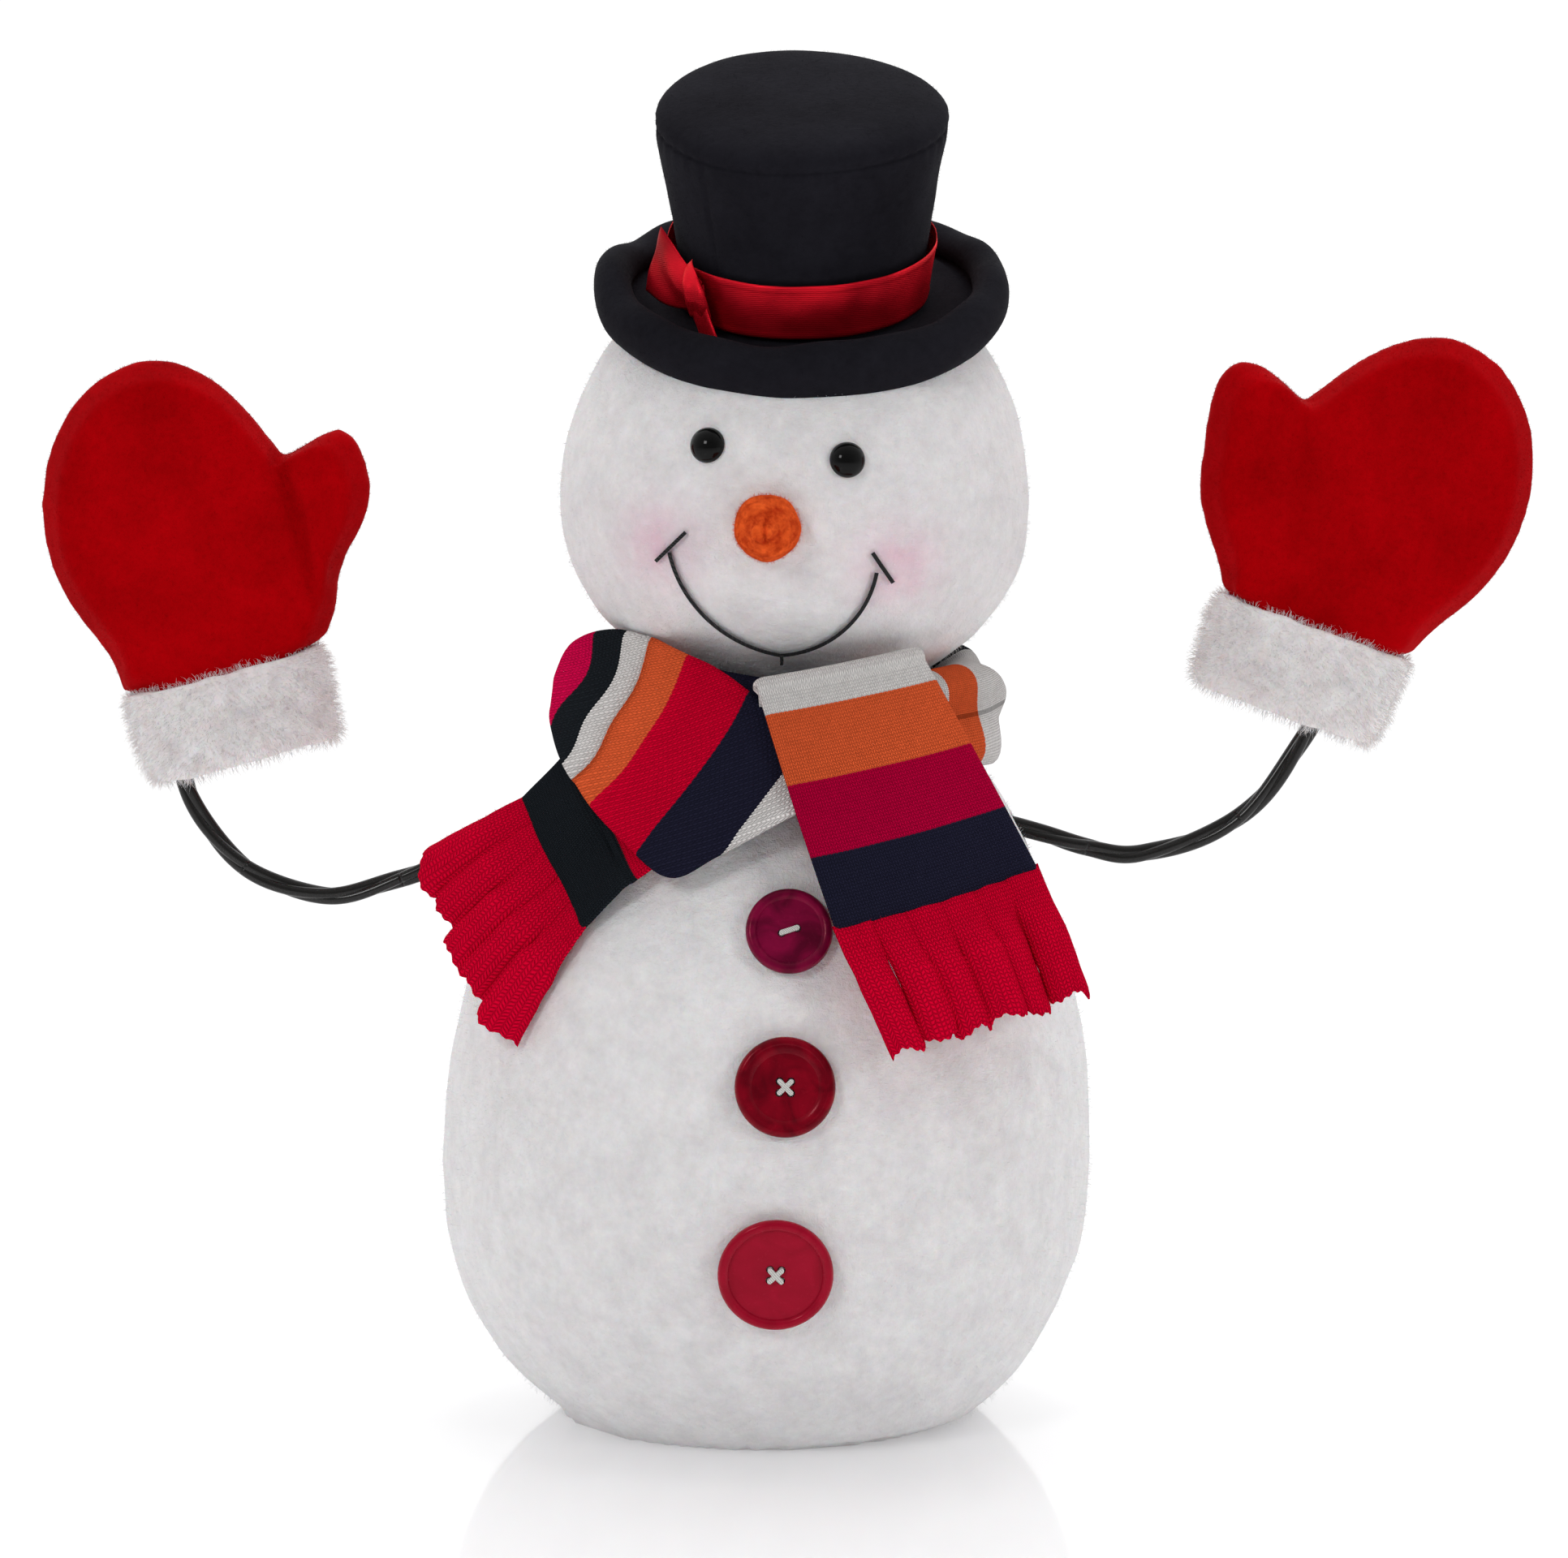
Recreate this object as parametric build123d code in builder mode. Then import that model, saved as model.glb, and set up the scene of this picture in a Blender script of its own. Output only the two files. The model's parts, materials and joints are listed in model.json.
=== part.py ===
from build123d import *
import math
import os

# A stuffed fleece yard snowman with a velvet top hat, a knitted scarf and mittens on bendable wire arms.
# Millimetres. +Z is up, the face looks along -Y, and the origin is the middle of the flat base.

os.makedirs("parts", exist_ok=True)

# Body and head
body_r = 107
body_low = 105            # widest ring down to the lowest point of the full egg
body_high = 173           # widest ring up to the top of the full egg
body_mid_z = 82
body_lean = 2.1           # degrees to the figure's left hand, seen from the front to the right
head_r = 78
head_low = 64
head_high = 88
head_mid_z = 304
head_roll = 5.5
face_turn = -6            # degrees about the head's own axis
cover_t = 2
seam_gap = 0.5            # between pieces of different bodies that are sewn together
fit_gap = 0.3             # between pieces that only touch

# Base
base_t = 2
board_t = 2
board_margin = 8
bag_r = 50
bag_h = 22

# Neck cord
neck_cord_ring_r = 42
neck_cord_r = 1.3
neck_cord_z = 245.5

# Eyes, nose and smile
eye_r = 5.8
eye_h = 4.6
eye_height = 23.4
eye_turn = 17.4
shank_r = 1.6
shank_length = 9
washer_r = 8
washer_t = 1.2
nose_r = 10.5
nose_h = 20
smile_shift = 1.4
thread_w = 1.2
thread_rise = 1

# Buttons: radius, thickness, height of the middle above the floor, holes
button_r = {"top": 13.8, "middle": 16, "bottom": 18.4}
button_z = {"top": 175.5, "middle": 127.5, "bottom": 67.5}
button_turn = {"top": 2, "middle": 2, "bottom": 1.5}
button_t = 3.4
button_hole_r = 1.3
button_hole_out = 2.6
button_thread_r = 0.8

# Wire arms
wire_r = 3.25
joint_gap = 0.35
shoulder_peak_z = 208.7
shoulder_bend_r = 30
heading = {"left": 201.3, "right": -20}    # degrees in the XZ plane, from +X towards +Z, outward
shoulder_level = 194
shoulder = {"left": (2.45, 193.5), "right": (11.45, 195)}     # (out past the body's side, height)
upper_bend = {"left": (38.45, 179.4), "right": (26.45, 190.4)}
elbow = {"left": (63.45, 174), "right": (46.45, 188)}
fore_bend = {"left": (94.45, 187.5), "right": (72.45, 195.5)}
wrist = {"left": (108.45, 209), "right": (99.95, 228)}
hand_tip = {"left": (110.45, 250), "right": (115.45, 264)}

# Mittens
cuff_mid = {"left": (97.45, 251), "right": (102.95, 266)}     # (out past the body's side, height)
cuff_lean = {"left": -15, "right": 20}
glove_lean = {"left": -6, "right": 20}
cuff_w = 66
cuff_d = 34
cuff_h = 30
cuff_t = 4
glove_half_t = 12
glove_mid = 50             # height of the middle of the outline above the cuff
glove_top_share = 0.86     # size of the flat of each panel against its seam
glove_t = 2
glove_edge = ((34, -8), (34, 0), (47, 19), (55, 40), (56, 60), (49, 71), (39, 70), (29, 66))
finger_edge = ((29, 66), (20, 81), (8, 95), (-8, 103), (-29, 99),
               (-47, 79), (-53, 52), (-45, 22), (-34, 0), (-34, -8))

# Top hat
hat_place = (14, -4, 374)
hat_tilt = 20
crown_r = 39
crown_top_r = 48
crown_h = 62
crown_dome_h = 10
crown_t = 2
lining_t = 1
brim_flat_r = 58
brim_t = 3.5
brim_hole_r = 35
rim_w = 12
rim_h = 17
rim_wire_r = 0.8
ribbon_h = 20
ribbon_t = 0.6
ribbon_z = 2
bow_turn = -50
bow_w = 8

# Scarf
scarf_t = 4
loop_r = 60
loop_w = 32
loop_h = 48
loop_mid_z = 236
wrap_r = body_r + 0.8
wrap_high = body_high + 47
drape_r = body_r + 3.5
drape_high = body_high + 61
tail_gap = 0.6
fold_r = 2.6
strip_count = {"left": 5, "right": 6}
strip_t = 5
strip_gap = 0.8
tail_corners = ((-2.6, 258.3), (50.4, 265.3), (88, 195.6), (24.6, 177.2))
right_fringe_fan = 76
left_tail_level = 209
left_tail_off = (1.12, 11.12)    # to the side and to the front of the body's ring at that height
left_tail_out = (-0.675, -0.675, 0.302)
left_tail_down = (-0.639, 0.328, -0.695)
left_tail_w = 58
left_tail_l = 24
left_fringe_fan = 84
fringe_l = 45
wrap_clear = 3
wrap_outline = ((-68, 258), (-44, 266), (-17, 265), (10, 246), (14, 216), (-22, 196), (-31, 195), (-68, 230))


quarter = 0.5523          # where a Bezier curve's handles stand to follow a quarter of an ellipse


def body_ring(height):
    """The radius of the body's full egg at a height above the floor."""
    return body_r * math.sqrt(1 - ((height - body_mid_z) / body_high) ** 2)


def past_body(spots):
    """Arm points in the XZ plane, from how far each stands out past the body's side at the shoulders."""
    reach = {side: body_ring(shoulder_level) + out for side, (out, _) in spots.items()}
    return {side: (-reach[side] if side == "left" else reach[side], spots[side][1]) for side in spots}


def lean_point(height):
    """The point of the body's leaning axis at a height above the floor."""
    return Vector(height * math.tan(math.radians(body_lean)), 0, height)


def side_of(frame):
    """The plane through a frame's axis, with x outward to the back and y along that axis."""
    return Plane(origin=frame.origin, x_dir=frame.y_dir, z_dir=frame.x_dir)


def axis_of(frame):
    return Axis(frame.origin, frame.z_dir)


def egg(frame, r, low, high, grow=0):
    """A closed egg, round about the frame's axis, with unlike heights above and below its widest ring."""
    r, low, high = r + grow, low + grow, high + grow
    with BuildPart() as solid:
        with BuildSketch(side_of(frame)):
            with BuildLine():
                Bezier((0, -low), (r * quarter, -low), (r, -low * quarter), (r, 0))
                Bezier((r, 0), (r, high * quarter), (r * quarter, high), (0, high))
                Line((0, high), (0, -low))
            make_face()
        revolve(axis=axis_of(frame))
    return solid.part


def on_egg(frame, r, low, high, turn, height):
    """The plane that touches an egg at a turn from its front and a height from its widest ring."""
    half = high if height > 0 else low
    ring = r * math.sqrt(1 - (height / half) ** 2)
    rise = math.atan2(height / half**2, ring / r**2)
    angle = math.radians(turn)
    out = frame.x_dir * math.sin(angle) - frame.y_dir * math.cos(angle)
    across = frame.x_dir * math.cos(angle) + frame.y_dir * math.sin(angle)
    spot = frame.origin + out * ring + frame.z_dir * height
    return Plane(origin=spot, x_dir=across, z_dir=out * math.cos(rise) + frame.z_dir * math.sin(rise))


def save(piece, name):
    piece.part.label = name
    export_step(piece.part, f"parts/{name}.step")


body_frame = Plane(Location(lean_point(body_mid_z), (0, body_lean, 0)))
head_frame = Plane(Location(lean_point(head_mid_z), (0, head_roll, 0)))
hat_frame = Plane(Location(hat_place, (hat_tilt, 0, 0)))
body_egg = (body_frame, body_r, body_low, body_high)
head_egg = (head_frame, head_r, head_low, head_high)
head_room = egg(*head_egg, grow=seam_gap)
base_r = body_r * math.sqrt(1 - (body_mid_z / body_low) ** 2)


def along(point, angle, distance):
    """The point of the XZ plane at a distance from another in the direction of an angle."""
    turn = math.radians(angle)
    return (point[0] + distance * math.cos(turn), point[1] + distance * math.sin(turn))


def in_space(point):
    return (point[0], 0, point[1])


def end_heading(points, angle):
    """The direction at the last point of arcs that each continue the one before."""
    for start, end in zip(points, points[1:]):
        angle = 2 * math.degrees(math.atan2(end[1] - start[1], end[0] - start[0])) - angle
    return angle


def wire(points, angle, r):
    """A round wire along tangent arcs through points of the XZ plane, starting in a direction."""
    with BuildPart() as solid:
        with BuildLine(Plane.XZ) as path:
            for start, end in zip(points, points[1:]):
                TangentArc(start, end, tangent=along((0, 0), angle, 1))
                angle = end_heading((start, end), angle)
        with BuildSketch(Plane(path.line @ 0, z_dir=path.line % 0)):
            Circle(r)
        sweep(path=path.line)
    return solid.part


# ---------------------------------------------------------------- wires inside the body

wire_room = wire_r + joint_gap
shoulder, upper_bend, elbow, fore_bend, wrist, hand_tip, cuff_mid = (
    past_body(spots) for spots in (shoulder, upper_bend, elbow, fore_bend, wrist, hand_tip, cuff_mid))
peak = {side: along(shoulder[side], heading[side] + 180,
                    (shoulder_peak_z - shoulder[side][1]) / math.sin(math.radians(heading[side] + 180)))
        for side in shoulder}


def shoulder_tube(r, ends):
    """The wire through the body, its ends moved out (or in) from the shoulder joints."""
    outer = {side: along(shoulder[side], heading[side], ends) for side in shoulder}
    with BuildPart() as solid:
        with BuildLine(Plane.XZ) as path:
            FilletPolyline(outer["left"], peak["left"], peak["right"], outer["right"], radius=shoulder_bend_r)
        with BuildSketch(Plane(path.line @ 0, z_dir=path.line % 0)):
            Circle(r)
        sweep(path=path.line)
    return solid.part


wire_channel = shoulder_tube(wire_r + fit_gap, wire_r)

with BuildPart() as shoulder_wire:
    add(shoulder_tube(wire_r, -wire_room))
save(shoulder_wire, "shoulder_wire")

# ---------------------------------------------------------------- body and base

with BuildPart() as base_panel:
    with BuildSketch(Plane.XY):
        Circle(base_r)
    extrude(amount=base_t)
save(base_panel, "base_panel")

with BuildPart() as base_board:
    with BuildSketch(Plane.XY.offset(base_t + fit_gap)):
        Circle(base_r - board_margin)
    extrude(amount=board_t)
    fillet(base_board.edges().group_by(Axis.Z)[-1], board_t / 4)
save(base_board, "base_board")

bag_z = base_t + board_t + 2 * fit_gap
with BuildPart() as weight_bag:
    with BuildSketch(Plane.XY.offset(bag_z)):
        Circle(bag_r)
    extrude(amount=bag_h)
    fillet(weight_bag.edges(), bag_h * 0.4)
save(weight_bag, "weight_bag")

with BuildPart() as body_cover:
    add(egg(*body_egg))
    add(egg(*body_egg, grow=-cover_t), mode=Mode.SUBTRACT)
    add(head_room, mode=Mode.SUBTRACT)
    add(wire_channel, mode=Mode.SUBTRACT)
    split(bisect_by=Plane.XY.offset(base_t + fit_gap), keep=Keep.TOP)
save(body_cover, "body_cover")

with BuildPart() as body_stuffing:
    add(egg(*body_egg, grow=-cover_t - fit_gap))
    add(egg(*head_egg, grow=cover_t + seam_gap), mode=Mode.SUBTRACT)
    add(wire_channel, mode=Mode.SUBTRACT)
    split(bisect_by=Plane.XY.offset(bag_z), keep=Keep.TOP)
    with BuildSketch(Plane.XY.offset(bag_z)):
        Circle(bag_r + fit_gap)
    extrude(amount=bag_h + fit_gap, mode=Mode.SUBTRACT)
save(body_stuffing, "body_stuffing")

neck_frame = Plane(Location(lean_point(neck_cord_z), (0, (body_lean + head_roll) / 2, 0)))
with BuildPart() as neck_cord:
    with BuildSketch(side_of(neck_frame)):
        with Locations((neck_cord_ring_r, 0)):
            Circle(neck_cord_r)
    revolve(axis=axis_of(neck_frame))
save(neck_cord, "neck_cord")

# ---------------------------------------------------------------- buttons

button_holes = {"top": 2, "middle": 4, "bottom": 4}
rim_w_share = {"top": 0.22, "middle": 0.3, "bottom": 0.16}
well_depth = {"top": 0.9, "middle": 0.7, "bottom": 1.4}
button_place = {
    name: on_egg(*body_egg, button_turn[name], button_z[name] - body_mid_z).offset(fit_gap)
    for name in button_r
}


def hole_spots(name):
    return PolarLocations(button_hole_out, button_holes[name], start_angle=20 if name == "top" else 45)


for name, place in button_place.items():
    r = button_r[name]
    rim_in = r * (1 - rim_w_share[name])
    rim_top = ((r + rim_in) / 2, button_t)
    floor_z = button_t - well_depth[name]
    with BuildPart() as button:
        with BuildSketch(side_of(place)):
            with BuildLine():
                Polyline((0, 0), (r - 0.6, 0), (r, 0.8))
                ThreePointArc((r, 0.8), (r - 0.35, button_t - 0.5), rim_top)
                ThreePointArc(rim_top, (rim_in + 0.3, button_t - 0.3), (rim_in - 0.4, floor_z))
                Polyline((rim_in - 0.4, floor_z), (0, floor_z), (0, 0))
            make_face()
        revolve(axis=axis_of(place))
        with BuildSketch(place):
            with hole_spots(name):
                Circle(button_hole_r)
        extrude(amount=button_t, mode=Mode.SUBTRACT)
    save(button, f"button_{name}")

    with BuildPart() as thread:
        with BuildSketch(place):
            with hole_spots(name):
                Circle(button_thread_r)
        extrude(amount=floor_z + button_thread_r)
        for turn in range(button_holes[name] // 2):
            angle = (20 if name == "top" else 45) + 90 * turn
            with BuildSketch(place.offset(floor_z + fit_gap)):
                SlotCenterToCenter(2 * button_hole_out, 2 * button_thread_r, rotation=angle)
            extrude(amount=1.2 * button_thread_r)
    save(thread, f"button_thread_{name}")

# ---------------------------------------------------------------- head and face

eye_place = {
    side: on_egg(*head_egg, face_turn + sign * eye_turn, eye_height)
    for side, sign in (("left", -1), ("right", 1))
}
hat_seat = hat_frame.offset(-brim_t - fit_gap)

with BuildPart() as shank_holes:
    for place in eye_place.values():
        with BuildSketch(place.offset(-shank_length - 4 * fit_gap)):
            Circle(shank_r + fit_gap)
        extrude(amount=2 * shank_length)

with BuildPart() as head_cover:
    add(egg(*head_egg))
    add(egg(*head_egg, grow=-cover_t), mode=Mode.SUBTRACT)
    add(shank_holes.part, mode=Mode.SUBTRACT)
    split(bisect_by=hat_seat, keep=Keep.BOTTOM)
save(head_cover, "head_cover")

with BuildPart() as head_stuffing:
    add(egg(*head_egg, grow=-cover_t - fit_gap))
    add(shank_holes.part, mode=Mode.SUBTRACT)
    split(bisect_by=hat_seat, keep=Keep.BOTTOM)
    for place in eye_place.values():
        with BuildSketch(place):
            Circle(washer_r + fit_gap)
        extrude(amount=-cover_t - washer_t - 5 * fit_gap, mode=Mode.SUBTRACT)
save(head_stuffing, "head_stuffing")

for side, place in eye_place.items():
    with BuildPart() as eye:
        with BuildSketch(side_of(place)):
            with BuildLine():
                Line((0, fit_gap), (eye_r, fit_gap))
                Bezier((eye_r, fit_gap), (eye_r, fit_gap + eye_h * quarter),
                       (eye_r * quarter, fit_gap + eye_h), (0, fit_gap + eye_h))
                Line((0, fit_gap + eye_h), (0, fit_gap))
            make_face()
            with Locations((shank_r / 2, -shank_length / 2)):
                Rectangle(shank_r, shank_length + 4 * fit_gap)
        revolve(axis=axis_of(place))
    save(eye, f"{side}_eye")

    with BuildPart() as washer:
        with BuildSketch(place.offset(-cover_t - 4 * fit_gap)):
            Circle(washer_r)
            Circle(shank_r + fit_gap / 2, mode=Mode.SUBTRACT)
        extrude(amount=-washer_t)
    save(washer, f"{side}_eye_washer")

nose_place = on_egg(*head_egg, face_turn, 0)
with BuildPart() as nose:
    with BuildSketch(side_of(nose_place)):
        with BuildLine():
            Line((0, fit_gap), (nose_r - 1.5, fit_gap))
            Spline((nose_r - 1.5, fit_gap), (nose_r, nose_h * 0.15), (nose_r * 0.66, nose_h * 0.65),
                   (nose_r * 0.3, nose_h * 0.93), (0, nose_h), tangents=((1, 0.4), (-1, 0)))
            Line((0, nose_h), (0, fit_gap))
        make_face()
    revolve(axis=axis_of(nose_place))
save(nose, "nose")

thread_layer = egg(*head_egg, grow=fit_gap + thread_rise) - egg(*head_egg, grow=fit_gap)
mouth_angle = math.radians(face_turn + smile_shift)
mouth_plane = Plane(origin=head_frame.origin,
                    x_dir=head_frame.x_dir * math.cos(mouth_angle) + head_frame.y_dir * math.sin(mouth_angle),
                    z_dir=head_frame.x_dir * math.sin(mouth_angle) - head_frame.y_dir * math.cos(mouth_angle))
smile_low = (4.5, -43)
stitches = {"left": ((-38, -16), (-28.7, -5)), "right": ((31.8, -5.5), (39, -15))}

with BuildPart() as smile_thread:
    with BuildSketch(mouth_plane):
        with BuildLine():
            ThreePointArc((-33.6, -12.4), (-21, -32), smile_low)
            ThreePointArc(smile_low, (26, -30.5), (33.6, -12))
        trace(line_width=thread_w)
    extrude(amount=head_r + 2)
    add(thread_layer, mode=Mode.INTERSECT)
save(smile_thread, "smile_thread")

for side, ends in stitches.items():
    with BuildPart() as stitch:
        with BuildSketch(mouth_plane):
            with BuildLine():
                Line(*ends)
            trace(line_width=thread_w)
        extrude(amount=head_r + 2)
        add(thread_layer, mode=Mode.INTERSECT)
    save(stitch, f"{side}_smile_stitch")

# ---------------------------------------------------------------- top hat

slope = (crown_top_r - crown_r) / crown_h
hat_side = side_of(hat_frame)

with BuildPart() as hat_crown:
    with BuildSketch(hat_side):
        low_r = crown_r + slope * fit_gap
        Polygon((low_r - crown_t, fit_gap), (low_r, fit_gap), (crown_top_r, crown_h),
                (crown_top_r - crown_t, crown_h), align=None)
    revolve(axis=axis_of(hat_frame))
save(hat_crown, "hat_crown")

with BuildPart() as hat_top:
    with BuildSketch(hat_side):
        seam_z = crown_h + fit_gap
        with BuildLine():
            Line((0, seam_z), (crown_top_r, seam_z))
            Spline((crown_top_r, seam_z), (crown_top_r * 0.97, seam_z + crown_dome_h * 0.55),
                   (crown_top_r * 0.86, seam_z + crown_dome_h * 0.8),
                   (crown_top_r * 0.5, seam_z + crown_dome_h * 0.96), (0, seam_z + crown_dome_h),
                   tangents=((0, 1), (-1, 0)))
            Line((0, seam_z + crown_dome_h), (0, seam_z))
        make_face()
    revolve(axis=axis_of(hat_frame))
save(hat_top, "hat_top")

with BuildPart() as hat_stiffener:
    with BuildSketch(hat_side):
        inset = crown_t + fit_gap
        low_r = crown_r + slope * fit_gap - inset
        high_r = crown_top_r - inset
        Polygon((low_r - lining_t, fit_gap), (low_r, fit_gap),
                (high_r, crown_h), (high_r - lining_t, crown_h), align=None)
    revolve(axis=axis_of(hat_frame))
save(hat_stiffener, "hat_stiffener")

with BuildPart() as hat_stuffing:
    with BuildSketch(hat_side):
        inset = crown_t + lining_t + 2 * fit_gap
        Polygon((0, -brim_t), (brim_hole_r - fit_gap, -brim_t), (brim_hole_r - fit_gap, fit_gap),
                (crown_top_r - inset, crown_h), (0, crown_h), align=None)
    revolve(axis=axis_of(hat_frame))
save(hat_stuffing, "hat_stuffing")

rim_mid = (brim_flat_r + rim_w / 3, rim_h / 2 - brim_t)
with BuildPart() as hat_brim:
    with BuildSketch(hat_side):
        with Locations(((brim_hole_r + brim_flat_r + rim_w / 4) / 2, -brim_t / 2)):
            Rectangle(brim_flat_r + rim_w / 4 - brim_hole_r, brim_t)
        with Locations(rim_mid):
            Ellipse(rim_w / 2, rim_h / 2)
            Circle(rim_wire_r + fit_gap / 2, mode=Mode.SUBTRACT)
    revolve(axis=axis_of(hat_frame))
save(hat_brim, "hat_brim")

with BuildPart() as hat_brim_wire:
    with BuildSketch(hat_side):
        with Locations(rim_mid):
            Circle(rim_wire_r)
    revolve(axis=axis_of(hat_frame))
save(hat_brim_wire, "hat_brim_wire")

with BuildPart() as hat_ribbon:
    with BuildSketch(hat_side):
        low_r = crown_r + slope * ribbon_z + fit_gap
        high_r = low_r + slope * ribbon_h
        Polygon((low_r, ribbon_z), (low_r + ribbon_t, ribbon_z), (high_r + ribbon_t, ribbon_z + ribbon_h),
                (high_r, ribbon_z + ribbon_h), align=None)
    revolve(axis=axis_of(hat_frame))
save(hat_ribbon, "hat_ribbon")

bow_angle = math.radians(bow_turn)
bow_out = hat_frame.x_dir * math.sin(bow_angle) - hat_frame.y_dir * math.cos(bow_angle)
bow_r = crown_r + slope * (ribbon_z + ribbon_h) + ribbon_t + 2 * fit_gap
bow_across = hat_frame.x_dir * math.cos(bow_angle) + hat_frame.y_dir * math.sin(bow_angle)
bow_plane = Plane(origin=hat_frame.origin + bow_out * bow_r + hat_frame.z_dir * (ribbon_z + ribbon_h / 2),
                  x_dir=bow_across, z_dir=bow_out)
bow_outlines = {
    "hat_bow_loop": ((-bow_w / 2 - fit_gap, -7), (-bow_w / 2 - fit_gap, 7), (-26, 15), (-24, -11)),
    "hat_bow_tail": ((bow_w / 2 + fit_gap, 5), (12, 5), (15, -8), (bow_w / 2 + fit_gap, -8)),
}
for name, outline in bow_outlines.items():
    with BuildPart() as bow_piece:
        with BuildSketch(bow_plane):
            Polygon(*outline, align=None)
        extrude(amount=3)
        fillet(bow_piece.edges().filter_by(axis_of(bow_plane)), 1)
    save(bow_piece, name)

with BuildPart() as bow_knot:
    with BuildSketch(bow_plane):
        RectangleRounded(bow_w, 14, 2)
    extrude(amount=5)
    fillet(bow_knot.faces().sort_by(axis_of(bow_plane))[-1].edges(), 1.5)
save(bow_knot, "hat_bow_knot")

# ---------------------------------------------------------------- scarf

loop_frame = Plane(Location(lean_point(loop_mid_z), (0, body_lean, 0)))
head_swing = egg(*head_egg, grow=2 * seam_gap)
body_room = egg(*body_egg, grow=fit_gap)

with BuildPart() as wrap_room:
    with BuildSketch(Plane.XZ):
        Polygon(*wrap_outline, align=None)
        offset(amount=fit_gap)
    extrude(amount=2 * body_r)
    add(egg(body_frame, wrap_r, body_low, wrap_high, grow=-fit_gap), mode=Mode.SUBTRACT)

with BuildPart() as scarf_neck_loop:
    with BuildSketch(Plane(origin=loop_frame.origin, x_dir=-loop_frame.x_dir, z_dir=loop_frame.y_dir)):
        with BuildLine():
            for w, h in ((1, 1), (-1, 1), (-1, -1), (1, -1)):
                half_w, half_h = w * loop_w / 2, h * loop_h / 2
                Bezier((loop_r + half_w, 0), (loop_r + half_w, half_h * quarter),
                       (loop_r + half_w * quarter, half_h), (loop_r, half_h))
        make_face()
    revolve(axis=axis_of(loop_frame))
    add(head_swing, mode=Mode.SUBTRACT)
    add(body_room, mode=Mode.SUBTRACT)
    add(wrap_room.part, mode=Mode.SUBTRACT)
save(scarf_neck_loop, "scarf_neck_loop")

def drape_point(x, z):
    """The point in the middle of the right tail's thickness that lies at x and z, on the front."""
    ring = (drape_r + scarf_t / 2) * math.sqrt(1 - ((z - body_mid_z) / (drape_high + scarf_t / 2)) ** 2)
    return Vector(x, -math.sqrt(ring**2 - (x - lean_point(z).X) ** 2), z)


left_tail_mid = (-body_ring(left_tail_level) * math.sqrt(0.5) - left_tail_off[0],
                 -body_ring(left_tail_level) * math.sqrt(0.5) - left_tail_off[1], left_tail_level)
tail_planes = {"left": Plane(origin=left_tail_mid, x_dir=left_tail_down, z_dir=left_tail_out)}
fold_ends = [drape_point(*corner) for corner in tail_corners[:2]]
fringe_root = [drape_point(*corner) for corner in tail_corners[2:]]
fringe_mid = drape_point(*[sum(pair) / 2 for pair in zip(*tail_corners[2:])])
tail_fall = fringe_mid - (fold_ends[0] + fold_ends[1]) / 2
tail_planes["right"] = Plane(origin=fringe_mid, x_dir=tail_fall,
                             z_dir=tail_fall.cross(fringe_root[0] - fringe_root[1]))

with BuildPart() as scarf_tail_fold:
    with BuildSketch(Plane(origin=fold_ends[0], z_dir=fold_ends[1] - fold_ends[0])):
        Circle(fold_r)
    extrude(amount=(fold_ends[1] - fold_ends[0]).length)
    fillet(scarf_tail_fold.edges().filter_by(GeomType.CIRCLE), fold_r * 0.8)
save(scarf_tail_fold, "scarf_tail_fold")

with BuildPart() as fold_room:
    with BuildSketch(Plane(origin=fold_ends[0], z_dir=fold_ends[1] - fold_ends[0]).offset(-wrap_clear)):
        Circle(fold_r + tail_gap)
    extrude(amount=(fold_ends[1] - fold_ends[0]).length + 2 * wrap_clear)

with BuildPart() as scarf_front_wrap:
    with BuildSketch(Plane.XZ):
        Polygon(*wrap_outline, align=None)
    extrude(amount=2 * body_r)
    add(egg(body_frame, wrap_r + scarf_t, body_low, wrap_high + scarf_t), mode=Mode.INTERSECT)
    add(egg(body_frame, wrap_r, body_low, wrap_high), mode=Mode.SUBTRACT)
    add(head_swing, mode=Mode.SUBTRACT)
    split(bisect_by=Plane(origin=Vector(left_tail_mid) - tail_planes["left"].x_dir * wrap_clear,
                          z_dir=tail_planes["left"].x_dir), keep=Keep.BOTTOM)
save(scarf_front_wrap, "scarf_front_wrap")

with BuildPart() as right_scarf_tail:
    with BuildSketch(Plane.XZ):
        Polygon(*tail_corners, align=None)
    extrude(amount=2 * body_r)
    add(egg(body_frame, drape_r + scarf_t, body_low, drape_high + scarf_t), mode=Mode.INTERSECT)
    add(egg(body_frame, drape_r, body_low, drape_high), mode=Mode.SUBTRACT)
    add(fold_room.part, mode=Mode.SUBTRACT)
save(right_scarf_tail, "right_scarf_tail")

with BuildPart() as left_scarf_tail:
    with BuildSketch(tail_planes["left"].offset(-scarf_t / 2)):
        with Locations((left_tail_l / 2, 0)):
            Rectangle(left_tail_l, left_tail_w)
    extrude(amount=scarf_t)
save(left_scarf_tail, "left_scarf_tail")

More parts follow.
